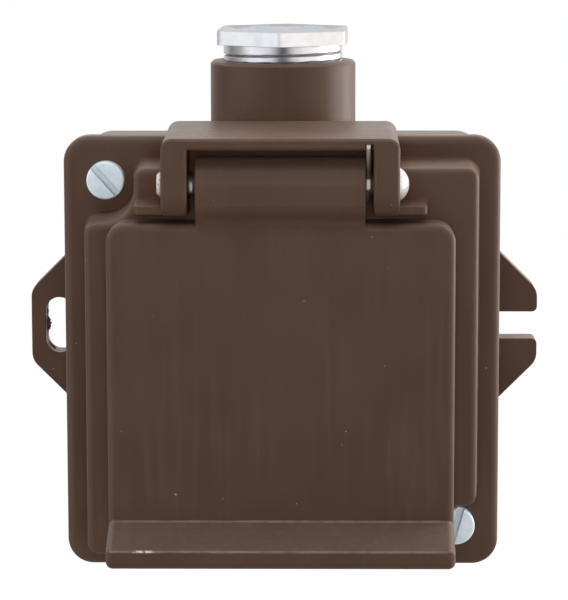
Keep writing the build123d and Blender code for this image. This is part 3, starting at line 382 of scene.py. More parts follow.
@dataclass(frozen=True)
class MouldedPlastic:
    """Satin thermoset moulding: painted shade in recesses, paler on upward faces, dusty, with pale wear along
    its edges and a painted highlight along any creases given.
    """

    name: str
    colour: Colour = srgb(66, 45, 32)
    # Painted shade: the darker, more saturated colour that recesses take.
    recess_shade: Colour = srgb(62, 27, 8)
    pale: Colour = srgb(128, 110, 99)
    dust: Colour = srgb(156, 140, 128)
    upward_pale: Colour = srgb(176, 168, 162)
    rub: Colour = srgb(196, 182, 172)
    roughness: float = 0.32
    ior: float = 1.52
    specular: float = 0.45
    mottle: Patches = Patches(0.09, 3.0, 0.3, 0.7)
    mottle_shade: float = 0.90
    mottle_matt: float = 0.06
    streak: Patches = Patches(1.0, 2.0, 0.45, 0.8)
    streak_scale: Place = (0.9, 0.9, 0.06)
    streak_pale: float = 0.03
    streak_matt: float = 0.10
    recess_reach: float = 9.0
    recess_ends: Ends = (0.3, 0.75)
    edge_radius: float = 0.5
    edge_ends: Ends = (0.05, 0.5)
    edge_breaks: Patches = Patches(0.7, 3.0, 0.35, 0.75)
    edge_wear: float = 0.6
    level_ends: Ends = (0.35, 0.95)
    upward_paling: float = 0.06
    dust_share: float = 0.8
    dust_cover: float = 0.8
    dust_matt: float = 0.35
    fine_specks: tuple[float, float] = (4.2, 0.17)
    large_specks: tuple[float, float] = (9.0, 0.26)
    grain_scales: tuple[float, float] = (0.8, 7.0)
    grain_fine: float = 0.25
    grain_depth: float = 0.006
    creases: tuple[tuple[float, float], ...] = ()
    crease_half: float = 0.34
    crease_core: float = 0.4
    crease_reach: float = 32.0
    crease_breaks: Patches = Patches(0.5, 4.0, 0.36, 0.62)
    crease_least: float = 0.45
    crease_highlight: float = 0.42
    rub_at: float = -24.4
    rub_half: float = 2.2
    rub_core: float = 0.1
    rub_breaks: Patches = Patches(1.6, 3.0, 0.34, 0.56)
    rub_wear: float = 0.8

    def crease_highlight_and_rub(self, surface: Surface) -> tuple[Value, Value]:
        """Painted highlight along the piece's level creases, and a spot of wear on the last of them.

        Args:
            surface: The material's tree.

        Returns:
            How much painted highlight each place has along the creases, and how much wear it has in the spot
            on the last of them.
        """
        across, depth, height = surface.axes(surface.millimetres)
        # Painted highlight: thin pale lines along each crease, broken by patches.
        lines = []
        for crease_y, crease_z in self.creases:
            apart = (depth - crease_y) ** 2 + (height - crease_z) ** 2
            lines.append(1 - apart.rise((self.crease_core * self.crease_half) ** 2, self.crease_half**2))
        reached = 1 - across.size().rise(self.crease_reach - 1, self.crease_reach)
        patches = surface.patches(self.crease_breaks)
        broken = (self.crease_least + (1 - self.crease_least) * patches) * reached
        spot = across.near(self.rub_at, self.rub_half, self.rub_core)
        wear_and_highlight = lines[0]
        for line in lines[1:]:
            wear_and_highlight = wear_and_highlight.most(line)
        return wear_and_highlight * broken, lines[-1] * spot * surface.patches(self.rub_breaks)

    def material(self) -> Material:
        """Build the material."""
        surface = Surface(self.name)
        rounded = surface.rounded_normal(self.edge_radius)
        mottle = surface.patches(self.mottle)
        streak = surface.patches(self.streak, surface.stretched(self.streak_scale))
        mottled = surface.blend(mottle, shaded(self.colour, self.mottle_shade), self.colour)
        # Painted shade: places shut in by the piece take the darker, more saturated colour.
        shut_in = surface.crevice(self.recess_reach).rise(*self.recess_ends)
        body = surface.blend(shut_in, mottled, self.recess_shade)
        wear = surface.edge_share(rounded).rise(*self.edge_ends) * surface.patches(self.edge_breaks)
        # Upward-facing faces turn paler, less so in recesses.
        level = surface.facing_up().rise(*self.level_ends)
        upward_paling = level * (self.upward_paling + self.streak_pale * streak) * (1 - shut_in)
        upward_paled = surface.blend(upward_paling, body, self.upward_pale)
        wear_and_highlight = surface.blend(wear * self.edge_wear + streak * self.streak_pale, upward_paled, self.pale)
        # Painted highlight along the creases, then the pale spot of wear on the last one.
        if self.creases:
            lines, spot = self.crease_highlight_and_rub(surface)
            wear_and_highlight = surface.blend(lines * self.crease_highlight, wear_and_highlight, self.pale)
            wear_and_highlight = surface.blend(spot * self.rub_wear, wear_and_highlight, self.rub)
        specks = surface.specks(*self.fine_specks, self.dust_share)
        dust = specks.most(surface.specks(*self.large_specks, self.dust_share / 2))
        coarse, fine = (surface.noise(scale) for scale in self.grain_scales)
        grain = coarse + self.grain_fine * fine
        matt = self.mottle_matt * mottle + self.streak_matt * streak + self.dust_matt * dust
        surface.set(
            Base_Color=surface.blend(dust * self.dust_cover, wear_and_highlight, self.dust),
            Roughness=self.roughness + matt,
            IOR=self.ior,
            Specular_IOR_Level=self.specular,
            Normal=surface.bumped(grain, self.grain_depth, rounded),
        )
        return surface.material


@dataclass(frozen=True)
class PlatedMetal:
    """Plated metal: fine turning or drawing lines under a bright skin, with duller clouds, and recesses
    darkened toward a dirt colour that is partly painted shade.
    """

    name: str
    colour: Colour
    cloud: Colour
    # Dirt in recesses, darkened further as painted shade.
    grime_and_shade: Colour
    roughness: float = 0.28
    metallic: float = 1.0
    edge_radius: float = 0.12
    clouds: Patches = Patches(0.45, 3.0, 0.35, 0.75)
    cloud_matt: float = 0.10
    lines: Place = (9.0, 9.0, 9.0)
    line_depth: float = 0.004
    line_matt: float = 0.06
    grime_and_shade_reach: float = 0.9
    grime_and_shade_ends: Ends = (0.15, 0.8)
    grime_and_shade_cover: float = 0.85
    grime_matt: float = 0.2

    def material(self) -> Material:
        """Build the material."""
        surface = Surface(self.name)
        rounded = surface.rounded_normal(self.edge_radius)
        clouds = surface.patches(self.clouds)
        lines = surface.noise(1.0, 3.0, surface.stretched(self.lines))
        # Dirt and painted shade: places shut in by the piece darken toward the dirt colour.
        shut_in = surface.crevice(self.grime_and_shade_reach).rise(*self.grime_and_shade_ends)
        clean = surface.blend(clouds, self.colour, self.cloud)
        matt = self.cloud_matt * clouds + self.line_matt * lines + self.grime_matt * shut_in
        surface.set(
            Base_Color=surface.blend(self.grime_and_shade_cover * shut_in, clean, self.grime_and_shade),
            Metallic=self.metallic,
            Roughness=self.roughness + matt,
            Normal=surface.bumped(lines, self.line_depth, rounded),
        )
        return surface.material


@dataclass(frozen=True)
class RivetSteel:
    """Steel of the hinge pin: bright on its hammered ends, dark and stained along the shaft, with one painted
    glint on the shaft.
    """

    name: str
    bright: Colour = srgb(214, 206, 202)
    chipped: Colour = srgb(96, 78, 66)
    dull: Colour = srgb(86, 70, 59)
    shaft_half: float = 20.6
    stain: Patches = Patches(0.9, 3.0, 0.4, 0.8)
    stain_shade: float = 0.6
    stain_matt: float = 0.15
    chips: Patches = Patches(1.5, 3.0, 0.54, 0.62)
    chip_cover: float = 0.8
    # Painted glint: a bright, non-metallic spot on the shaft, where the left hinge gap shows it.
    glint_x: float = -15.85
    glint_z: float = 32.9
    glint_half_width: float = 0.36
    glint_half_height: float = 1.2
    glint_core: float = 0.2
    glint_cover: float = 0.55
    metallic: float = 0.6
    roughness: float = 0.34
    dent_scale: float = 1.3
    dent_depth: float = 0.03
    edge_radius: float = 0.15

    def material(self) -> Material:
        """Build the material."""
        surface = Surface(self.name)
        across, _, height = surface.axes(surface.millimetres)
        dents = surface.noise(self.dent_scale, 3.0)
        stain = surface.patches(self.stain)
        chips = surface.patches(self.chips) * (0 - across).above(self.shaft_half)
        # Painted glint on the shaft.
        aside = (across - self.glint_x) * (1 / self.glint_half_width)
        above = (height - self.glint_z) * (1 / self.glint_half_height)
        spot = 1 - (aside**2 + above**2).rise(self.glint_core, 1.0)
        stained = surface.blend(stain, self.dull, shaded(self.dull, self.stain_shade))
        shaft = surface.blend(self.glint_cover * spot, stained, self.bright)
        end = surface.blend(self.chip_cover * chips, self.bright, self.chipped)
        surface.set(
            Base_Color=surface.blend(across.size().above(self.shaft_half), shaft, end),
            Metallic=self.metallic - self.metallic * spot,
            Roughness=self.roughness + self.stain_matt * stain,
            Normal=surface.bumped(dents, self.dent_depth, surface.rounded_normal(self.edge_radius)),
        )
        return surface.material


@dataclass(frozen=True)
class SpringWire:
    """Oily spring wire: dark along its length, with a painted highlight that grows up the leg to its tip and
    a painted glint where the leg is bent.
    """

    name: str
    oily: Colour = srgb(96, 80, 69)
    bright: Colour = srgb(222, 214, 208)
    oil: Patches = Patches(1.2, 3.0, 0.4, 0.8)
    oil_shade: float = 0.6
    oil_matt: float = 0.12
    oil_depth: float = 0.01
    # Painted highlight and glint on the leg, placed by height.
    fade_low: float = 36.0
    fade: float = 0.3
    tip_low: float = 39.6
    tip_high: float = 40.2
    bend_at: float = 33.5
    bend_half: float = 1.1
    bend_core: float = 0.3
    bend_cover: float = 0.75
    metallic: float = 0.6
    roughness: float = 0.36

    def material(self) -> Material:
        """Build the material."""
        surface = Surface(self.name)
        _, _, height = surface.axes(surface.millimetres)
        # Painted glint at the bend, and a painted highlight that grows up the leg.
        bend_glint = height.near(self.bend_at, self.bend_half, self.bend_core)
        slow_highlight = self.fade * height.rise(self.fade_low, self.tip_high)
        leg = slow_highlight + (1 - self.fade) * height.rise(self.tip_low, self.tip_high)
        tip = leg.most(self.bend_cover * bend_glint)
        oil = surface.patches(self.oil)
        wire = surface.blend(oil, self.oily, shaded(self.oily, self.oil_shade))
        surface.set(
            Base_Color=surface.blend(tip, wire, self.bright),
            Metallic=self.metallic - self.metallic * tip,
            Roughness=self.roughness + self.oil_matt * oil,
            Normal=surface.bumped(oil, self.oil_depth),
        )
        return surface.material


@dataclass(frozen=True)
class Rubber:
    """Black sealing rubber: matt, faintly pored, with a grey bloom."""

    name: str
    colour: Colour = srgb(34, 33, 32)
    bloom: Colour = srgb(62, 60, 58)
    roughness: float = 0.72
    bloom_patches: Patches = Patches(0.5, 4.0, 0.4, 0.8)
    bloom_matt: float = 0.12
    pore_scale: float = 4.0
    pore_depth: float = 0.02
    edge_radius: float = 0.25

    def material(self) -> Material:
        """Build the material."""
        surface = Surface(self.name)
        bloom = surface.patches(self.bloom_patches)
        pores = surface.noise(self.pore_scale)
        surface.set(
            Base_Color=surface.blend(bloom, self.colour, self.bloom),
            Roughness=self.roughness + self.bloom_matt * bloom,
            Normal=surface.bumped(pores, self.pore_depth, surface.rounded_normal(self.edge_radius)),
        )
        return surface.material


class Workshop:
    """Makes meshes into pieces of the object, and keeps the finishes."""

    def __init__(self, nodes: dict[str, Object]) -> None:
        """Build every finish once.

        Args:
            nodes: The frame's nodes by name.
        """
        self.nodes = nodes
        # Its second colour is the painted shade of the carrier's recesses.
        carrier = MouldedPlastic("carrier_moulding", srgb(48, 44, 42), srgb(42, 38, 36), roughness=0.6)
        # Each plated metal's third colour is the dirt and painted shade of its recesses.
        zinc = PlatedMetal(
            "zinc_steel",
            srgb(223, 234, 241),
            srgb(208, 222, 231),
            srgb(104, 124, 126),
            roughness=0.42,
            metallic=0.5,
        )
        brass = PlatedMetal("contact_brass", srgb(206, 168, 92), srgb(186, 146, 78), srgb(110, 78, 40))
        nickel = PlatedMetal(
            "nickel_plate",
            srgb(250, 248, 249),
            srgb(243, 243, 247),
            srgb(150, 148, 146),
            roughness=0.14,
            grime_and_shade_reach=0.5,
            lines=(0.4, 0.4, 9.0),
            line_depth=0.0005,
        )
        self.finishes = {
            Slot.PLASTIC: MouldedPlastic("brown_moulding").material(),
            Slot.CARRIER: carrier.material(),
            Slot.RUBBER: Rubber("black_rubber").material(),
            Slot.ZINC: zinc.material(),
            Slot.NICKEL: nickel.material(),
            Slot.BRASS: brass.material(),
        }
        self.rivet_steel = RivetSteel("rivet_steel").material()
        self.spring_steel = SpringWire("spring_steel").material()

    def dress(self, material: Material, *names: str) -> None:
        """Give CAD nodes a finish."""
        for name in names:
            for material_slot in self.nodes[name].material_slots:
                material_slot.material = material
            LOG.info("%s keeps its CAD form, in %s", name, material.name)

    def piece(
        self,
        name: str,
        mesh: Mesh,
        body: Body,
        slot: Slot,
        stands_for: Sequence[str] = (),
        material: Material | None = None,
        winds: tuple[Body, Vector, Vector] | None = None,
    ) -> Object:
        """Make a finished mesh a piece of the object.

        Args:
            name: The piece's name.
            mesh: Its mesh, in place.
            body: The body that it rides on.
            slot: The material slot that it takes its finish from.
            stands_for: The CAD nodes that it replaces.
            material: Its own finish, where that isn't the slot's.
            winds: For a piece across a joint, the other body, and where it leaves one and meets the other;
                only whether it is given is read, and such a piece is then left unattached, in place.

        Returns:
            The piece.
        """
        for polygon in mesh.polygons:
            polygon.use_smooth = True
        mesh.set_sharp_from_angle(angle=SMOOTH_ANGLE)
        mesh.materials.clear()
        mesh.materials.append(material or self.finishes[slot])
        made = bpy.data.objects.new(name, mesh)
        bpy.context.scene.collection.objects.link(made)
        if winds:
            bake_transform(made)
        else:
            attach(made, body.value)
        if stands_for:
            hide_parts(*stands_for)
        LOG.info("%s: %d faces on %s", name, len(mesh.polygons), body.value)
        return made


def ring_loft(rings: Sequence[Ring], angles: Sequence[float], axis: Vector, name: str) -> Mesh:
    """Closed mesh through rings about an upright axis, the last joined to the first.

    Args:
        rings: For each ring, a function from an angle to a radius and a height.
        angles: The angles of the ring's points, in order.
        axis: A point on the axis at height 0.
        name: The mesh's name.

    Returns:
        The mesh, with its normals outwards.
    """
    shape = bmesh.new()
    rows = []
    for ring in rings:
        places = [(angle, *ring(angle)) for angle in angles]
        rows.append(
            [shape.verts.new(axis + Vector((r * math.cos(a), r * math.sin(a), z))) for a, r, z in places]
        )
    count = len(angles)
    for low, high in zip(rows, rows[1:] + rows[:1]):
        for at in range(count):
            after = (at + 1) % count
            shape.faces.new((low[at], low[after], high[after], high[at]))
    bmesh.ops.remove_doubles(shape, verts=shape.verts, dist=WELD)
    bmesh.ops.recalc_face_normals(shape, faces=shape.faces)
    mesh = bpy.data.meshes.new(name)
    shape.to_mesh(mesh)
    shape.free()
    return mesh


def evaluated_mesh(carrier: Object, tree: NodeTree, sizes: dict[str, object]) -> Mesh:
    """Run a Geometry Nodes tree on an object and return the plain mesh.

    Args:
        carrier: The object that the tree works on, which is removed afterwards.
        tree: The tree.
        sizes: The tree's named inputs.

    Returns:
        The mesh that the tree makes.
    """
    modifier = carrier.modifiers.new(tree.name, "NODES")
    modifier.node_group = tree
    sockets = {item.name: item.identifier for item in tree.interface.items_tree if item.in_out == "INPUT"}
    for name, size in sizes.items():
        modifier[sockets[name]] = size
    bpy.context.scene.collection.objects.link(carrier)
    depsgraph = bpy.context.evaluated_depsgraph_get()
    mesh = bpy.data.meshes.new_from_object(carrier.evaluated_get(depsgraph))
    carrier.modifiers.remove(modifier)
    bpy.data.objects.remove(carrier)
    return mesh


def geometry_tree(name: str, inputs: dict[str, str]) -> tuple[Graph, dict[str, Value]]:
    """Start a Geometry Nodes tree.

    Args:
        name: The tree's name.
        inputs: The types of its named inputs, after the geometry.

    Returns:
        The tree's graph, and its inputs by name.
    """
    tree = bpy.data.node_groups.new(name, "GeometryNodeTree")
    tree.interface.new_socket("Geometry", in_out="INPUT", socket_type="NodeSocketGeometry")
    for label, kind in inputs.items():
        tree.interface.new_socket(label, in_out="INPUT", socket_type=kind)
    tree.interface.new_socket("Geometry", in_out="OUTPUT", socket_type="NodeSocketGeometry")
    graph = Graph(tree)
    return graph, {socket.name: Value(graph, socket) for socket in graph.node("NodeGroupInput").outputs}


def finished_tree(graph: Graph, shape: Node, finish: Value) -> NodeTree:
    """End a Geometry Nodes tree with real geometry in its finish.

    Args:
        graph: The tree's graph.
        shape: The node that makes the geometry.
        finish: The tree's input for its material.

    Returns:
        The tree.
    """
    real = graph.node("GeometryNodeRealizeInstances", {0: shape})
    finished = graph.node("GeometryNodeSetMaterial", {"Geometry": real, "Material": finish})
    graph.node("NodeGroupOutput", {0: finished})
    return graph.tree


def route_object(name: str, places: Sequence[Sequence[float]], radii: Sequence[float] = ()) -> Object:
    """Object that holds one curve of straight runs.

    Args:
        name: The object's name.
        places: The points along the curve.
        radii: The curve's radius at each point, where it matters.

    Returns:
        The object.
    """
    curve = bpy.data.curves.new(name, "CURVE")
    curve.dimensions = "3D"
    spline = curve.splines.new("POLY")
    spline.points.add(len(places) - 1)
    for point, place in zip(spline.points, places):
        point.co = (*place, 1.0)
    for point, radius in zip(spline.points, radii):
        point.radius = radius
    return bpy.data.objects.new(name, curve)


@dataclass
class SlottedScrews:
    """The cover's two cheese-head screws: one turned screw, slotted and placed by a node tree."""

    workshop: Workshop
    inset: float = 7.9 * MM
    head_radius: float = 3.45 * MM
    head_height: float = 2.6 * MM
    head_round: float = 0.34 * MM
    shank_radius: float = 2.0 * MM
    shank_point: float = 0.5 * MM
    slot_width: float = 1.25 * MM
    slot_depth: float = 1.3 * MM
    turns: tuple[float, float] = (math.radians(-48), math.radians(75))
    segments: int = 64
    round_steps: int = 5

    def turned_screw(self, shank: float) -> Mesh:
        """Screw before its slot is cut, standing on its head's seat.

        Args:
            shank: The shank's length.

        Returns:
            The turned mesh.
        """
        inner = self.head_radius - self.head_round
        shoulder = self.head_height - self.head_round
        profile = [
            (0.0, -shank),
            (self.shank_radius - self.shank_point, -shank),
            (self.shank_radius, self.shank_point - shank),
            (self.shank_radius, 0.0),
            (self.head_radius, 0.0),
        ]
        for step in range(self.round_steps + 1):
            angle = math.pi / 2 * step / self.round_steps
            out, up = self.head_round * math.cos(angle), self.head_round * math.sin(angle)
            profile.append((inner + out, shoulder + up))
        profile.append((0.0, self.head_height))
        angles = [2 * math.pi * step / self.segments for step in range(self.segments)]
        rings = [lambda _, at=at: at for at in profile]
        return ring_loft(rings, angles, Vector(), "turned_screw")

    def tree(self) -> NodeTree:
        """Tree that slots one screw and sets it at each point, turned by the point's own angle."""
        sizes = {"Screw": "NodeSocketObject", "Finish": "NodeSocketMaterial"}
        for name in ("Slot Width", "Slot Depth", "Head Height", "Head Radius"):
            sizes[name] = "NodeSocketFloat"
        graph, given = geometry_tree("slotted_screws", sizes)
        blade_size = graph.vector(3 * given["Head Radius"], given["Slot Width"], 2 * given["Slot Depth"])
        blade = graph.node("GeometryNodeMeshCube", {"Size": blade_size})
        lift = graph.vector(z=given["Head Height"])
        placed = graph.node("GeometryNodeTransform", {"Geometry": blade, "Translation": lift})
        screw = graph.node("GeometryNodeObjectInfo", {"Object": given["Screw"]})
        sockets = {0: screw.outputs["Geometry"], 1: placed}
        cut = graph.node("GeometryNodeMeshBoolean", sockets, operation="DIFFERENCE", solver="EXACT")
        points = graph.node("GeometryNodeMeshToPoints", {0: given["Geometry"]})
        sockets = {"Points": points, "Instance": cut, "Rotation": (math.pi / 2, 0.0, 0.0)}
        stood = graph.node("GeometryNodeInstanceOnPoints", sockets)
        turn = graph.node("GeometryNodeInputNamedAttribute", {"Name": "turn"}, data_type="FLOAT")
        sockets = {"Instances": stood, "Rotation": graph.vector(z=turn), "Local Space": True}
        return finished_tree(graph, graph.node("GeometryNodeRotateInstances", sockets), given["Finish"])

    def build(self) -> None:
        """Make both screws as one piece that replaces their node."""
        low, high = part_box("cover_screws")
        _, flange_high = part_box("front_cover")
        reach = flange_high.x - self.inset
        seat = low.y + self.head_height
        points = bpy.data.meshes.new("screw_places")
        points.from_pydata([(-reach, seat, reach), (reach, seat, -reach)], [], [])
        points.attributes.new("turn", "FLOAT", "POINT").data.foreach_set("value", self.turns)
        template = bpy.data.objects.new("turned_screw", self.turned_screw(high.y - seat))
        bpy.context.scene.collection.objects.link(template)
        sizes = {
            "Screw": template,
            "Finish": self.workshop.finishes[Slot.ZINC],
            "Slot Width": self.slot_width,
            "Slot Depth": self.slot_depth,
            "Head Height": self.head_height,
            "Head Radius": self.head_radius,
        }
        mesh = evaluated_mesh(bpy.data.objects.new("screw_places", points), self.tree(), sizes)
        bpy.data.objects.remove(template)
        self.workshop.piece("slotted_cover_screws", mesh, Body.HOUSING, Slot.ZINC, ["cover_screws"])


@dataclass
class GlandNut:
    """Hexagonal gland nut, with its thread cut as one closed surface."""

    workshop: Workshop
    across_flats: float = 23.9 * MM
    head_height: float = 2.95 * MM
    head_turn: float = math.radians(87.5)
    corner_radius: float = 13.68 * MM
    dish: float = 1.0 * MM
    rim_round: float = 0.45 * MM
    rim_steps: int = 6
    mouth_chamfer: float = 0.35 * MM
    thread_radius: float = 11.2 * MM
    thread_pitch: float = 1.41 * MM
    thread_depth: float = 0.5 * MM
    groove_half: float = 0.20
    first_groove: float = 1.75 * MM
    neck: float = 0.9 * MM
    neck_fade: float = 0.35 * MM
    thread_steps: int = 16
    shank_chamfer: float = 0.8 * MM
    bore_radius: float = 7.0 * MM
    angle_step: int = 2

    def hexagon(self, angle: float) -> float:
        """Radius of the hexagon at an angle, with its corners turned off."""
        sixth = math.pi / 3
        flat = self.across_flats / 2 / math.cos((angle - self.head_turn) % sixth - sixth / 2)
        return min(flat, self.corner_radius)

    def thread(self, angle: float, rise: float, length: float) -> float:
        """Radius of the thread.

        Args:
            angle: The angle about the axis.
            rise: The height above the shank's foot.
            length: The shank's length.

        Returns:
            The radius: it dips once in a pitch, is plain under the head and chamfered at the foot.
        """
        below = length - rise
        phase = ((below - self.first_groove) / self.thread_pitch + (angle / math.pi + 0.5) / 2) % 1.0
        dip = max(0.0, 1.0 - min(phase, 1.0 - phase) / self.groove_half)
        depth = self.thread_depth * min(1.0, max(0.0, (below - self.neck) / self.neck_fade))
        groove = depth * dip * dip * (3 - 2 * dip)
        return min(self.thread_radius - groove, self.thread_radius - self.shank_chamfer + rise)

    def rim(self, top: float) -> list[Ring]:
        """Rings over the head's rounded upper edge.

        Args:
            top: The height of the head's top.

        Returns:
            The rings from the flats to the top.
        """
        rings: list[Ring] = []
        for step in range(self.rim_steps + 1):
            turn = math.pi / 2 * step / self.rim_steps
            inset, sink = self.rim_round * (1 - math.cos(turn)), self.rim_round * (1 - math.sin(turn))
            rings.append(lambda angle, inset=inset, sink=sink: (self.hexagon(angle) - inset, top - sink))
        return rings

    def rings(self, foot: float, top: float) -> list[Ring]:
        """Rings up the shank, round the head and down the bore.

        Args:
            foot: The height of the shank's foot.
            top: The height of the head's top.

        Returns:
            The rings in order.
        """
        length = top - self.head_height - foot
        bore_mouth = self.bore_radius + self.mouth_chamfer
        steps = round(length / self.thread_pitch * self.thread_steps)
        rises = [length * step / steps for step in range(steps + 1)]
        rings: list[Ring] = [lambda _: (self.bore_radius, foot)]
        rings += [lambda angle, rise=rise: (self.thread(angle, rise, length), foot + rise) for rise in rises]
        rings.append(lambda angle: (self.hexagon(angle), foot + length))
        rings += self.rim(top)
        rings.append(lambda _: (bore_mouth, top - self.dish))
        rings.append(lambda _: (self.bore_radius, top - self.dish - self.mouth_chamfer))
        return rings

    def build(self) -> None:
        """Make the nut as a piece that replaces its node."""
        low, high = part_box("gland_nut")
        axis = Vector((0.0, (low.y + high.y) / 2, 0.0))
        angles = [self.head_turn + math.radians(step) for step in range(0, 360, self.angle_step)]
        mesh = ring_loft(self.rings(low.z, high.z), angles, axis, "threaded_gland_nut")
        self.workshop.piece("threaded_gland_nut", mesh, Body.NUT, Slot.NICKEL, ["gland_nut"])


@dataclass
class GripRing:
    """Rubber ring that grips the cable."""

    workshop: Workshop
    bore_radius: float = 7.3 * MM
    edge: float = 0.5 * MM
    squeezed: float = 0.59
    angle_step: int = 4

    def build(self) -> None:
        """Make the ring as a piece that replaces its node."""
        low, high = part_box("gland_seal")
        axis = Vector((0.0, (low.y + high.y) / 2, 0.0))
        outside, inside = high.x, self.bore_radius
        section = (
            (inside, low.z + self.edge),
            (inside + self.edge, low.z),
            (outside - self.edge, low.z),
            (outside, low.z + self.edge),
            (outside, high.z - self.edge),
            (outside - self.edge, high.z),
            (inside + self.edge, high.z),
            (inside, high.z - self.edge),
        )
        angles = [math.radians(step) for step in range(0, 360, self.angle_step)]
        mesh = ring_loft([lambda _, at=at: at for at in section], angles, axis, "grip_ring")
        made = self.workshop.piece("grip_ring", mesh, Body.HOUSING, Slot.RUBBER, ["gland_seal"])
        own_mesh(made)


@dataclass
class ClosingSpring:
    """Torsion spring of the lid: one round wire along a coil, with its leg and its tail."""

    workshop: Workshop
    wire_radius: float = 0.4 * MM
    coil_radius: float = 3.0 * MM
    pitch: float = 1.6 * MM
    turns: float = 3.75
    leg_hold: float = 1.2 * MM
    leg_lean: float = 0.8 * MM
    tip_sink: float = 0.04 * MM
    tail: float = 3.0 * MM
    steps_per_turn: int = 24
    wire_sides: int = 12

    def route(self, axis: Vector, leg_x: float, leg_top: float) -> list[Vector]:
        """Points along the wire.

        Args:
            axis: A point on the hinge axis.
            leg_x: Where the leg stands along the axis.
            leg_top: The height of the leg's tip.

        Returns:
            The points from the tail's end to the leg's tip.
        """
        start_x = leg_x - self.pitch * self.turns
        top = Vector((start_x, axis.y, axis.z + self.coil_radius))
        points = [top - Vector((self.tail, 0.0, 0.0)), top - Vector((self.wire_radius, 0.0, 0.0))]
        for step in range(round(self.turns * self.steps_per_turn) + 1):
            angle = 2 * math.pi * step / self.steps_per_turn
            across = Vector((0.0, math.sin(angle), math.cos(angle))) * self.coil_radius
            along = self.pitch * step / self.steps_per_turn
            points.append(Vector((start_x + along, axis.y, axis.z)) + across)
        points.append(Vector((leg_x, axis.y - self.coil_radius - self.leg_lean, leg_top)))
        return points

    def tree(self) -> NodeTree:
        """Tree that draws a round wire along a curve."""
        sizes = {"Wire Radius": "NodeSocketFloat", "Sides": "NodeSocketInt", "Finish": "NodeSocketMaterial"}
        graph, given = geometry_tree("round_wire", sizes)
        sockets = {"Resolution": given["Sides"], "Radius": given["Wire Radius"]}
        section = graph.node("GeometryNodeCurvePrimitiveCircle", sockets)
        sockets = {"Curve": given["Geometry"], "Profile Curve": section, "Fill Caps": True}
        return finished_tree(graph, graph.node("GeometryNodeCurveToMesh", sockets), given["Finish"])

    def build(self, axis: Vector) -> None:
        """Make the spring as a piece that replaces its node.

        Args:
            axis: A point on the hinge axis.
        """
        low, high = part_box("hinge_spring")
        points = self.route(axis, high.x - self.wire_radius, high.z - self.tip_sink)
        steel = self.workshop.spring_steel
        sizes = {"Wire Radius": self.wire_radius, "Sides": self.wire_sides, "Finish": steel}
        mesh = evaluated_mesh(route_object("spring_route", points), self.tree(), sizes)
        leg_side = Vector((high.x - self.leg_hold, axis.y, axis.z))
        tail_side = Vector((low.x + self.tail + self.wire_radius, axis.y, axis.z))
        winds = (Body.LID, leg_side, tail_side)
        self.workshop.piece("closing_spring", mesh, Body.HOUSING, Slot.ZINC, ["hinge_spring"], steel, winds)


@dataclass
class SlotFlash:
    """Ragged flash left by the mould along the inner edge of the left fixing slot."""

    workshop: Workshop
    centre: tuple[float, float] = (-43.55 * MM, 1.05 * MM)
    slot_radius: float = 2.65 * MM
    straight_half: float = 2.775 * MM
    depth: float = 2.6 * MM
    flatness: float = 0.4
    ends: float = math.radians(65)
    thin: float = 0.07 * MM
    flakes: tuple[tuple[float, float, float], ...] = ((0.8, 1.3, 0.62), (3.3, 0.5, 0.25), (-3.5, 0.6, 0.30))
    ragged: float = 0.5
    grain: float = 2600.0
    seed: float = 3.0
    points: int = 90
    sides: int = 8

    def route(self) -> list[tuple[float, float]]:
        """Places along the slot's left side, from its upper round to its lower one."""
        arc = self.slot_radius * self.ends
        total = 2 * arc + 2 * self.straight_half
        places = []
        for step in range(self.points):
            run = total * step / (self.points - 1)
            if run < arc:
                turn, rise = (arc - run) / self.slot_radius, self.straight_half
            elif run > total - arc:
                turn, rise = (total - arc - run) / self.slot_radius, -self.straight_half
            else:
                turn, rise = 0.0, self.straight_half + arc - run
            x = self.centre[0] - self.slot_radius * math.cos(turn)
            places.append((x, self.centre[1] + rise + self.slot_radius * math.sin(turn)))
        return places

    def reach(self, height: float) -> float:
        """How far the flash stands out at a height, before it is made ragged."""
        bumps = [tall * math.exp(-(((height / MM - at) / half) ** 4)) for at, half, tall in self.flakes]
        return self.thin + max(bumps) * MM

    def tree(self) -> NodeTree:
        """Tree that draws a flattened bead of uneven radius along a curve."""
        sizes = {name: "NodeSocketFloat" for name in ("Ragged", "Grain", "Seed", "Flatness", "Depth")}
        sizes |= {"Sides": "NodeSocketInt", "Finish": "NodeSocketMaterial"}
        graph, given = geometry_tree("slot_flash", sizes)
        position = graph.node("GeometryNodeInputPosition")
        sockets = {"Vector": position, "W": given["Seed"], "Scale": given["Grain"]}
        swing = 4 * graph.value("ShaderNodeTexNoise", sockets, noise_dimensions="4D") - 2
        radius = graph.value("GeometryNodeInputRadius", {})
        uneven = radius * (1 + given["Ragged"] * swing)
        sockets = {"Resolution": given["Sides"], "Radius": 1.0}
        section = graph.node("GeometryNodeCurvePrimitiveCircle", sockets)
        sockets = {"Curve": given["Geometry"], "Profile Curve": section, "Scale": uneven, "Fill Caps": True}
        bead = graph.node("GeometryNodeCurveToMesh", sockets)
        squeeze, push = graph.vector(1.0, given["Flatness"], 1.0), graph.vector(y=0 - given["Depth"])
        sockets = {"Geometry": bead, "Scale": squeeze, "Translation": push}
        return finished_tree(graph, graph.node("GeometryNodeTransform", sockets), given["Finish"])

    def build(self) -> None:
        """Make the flash as a piece of its own."""
        places = [(x, 0.0, z) for x, z in self.route()]
        carrier = route_object("flash_route", places, [self.reach(z) for _, _, z in places])
        sizes = {
            "Ragged": self.ragged,
            "Grain": self.grain,
            "Seed": self.seed,
            "Flatness": self.flatness,
            "Depth": self.depth,
            "Sides": self.sides,
            "Finish": self.workshop.finishes[Slot.PLASTIC],
        }
        mesh = evaluated_mesh(carrier, self.tree(), sizes)
        self.workshop.piece("slot_flash", mesh, Body.HOUSING, Slot.PLASTIC)


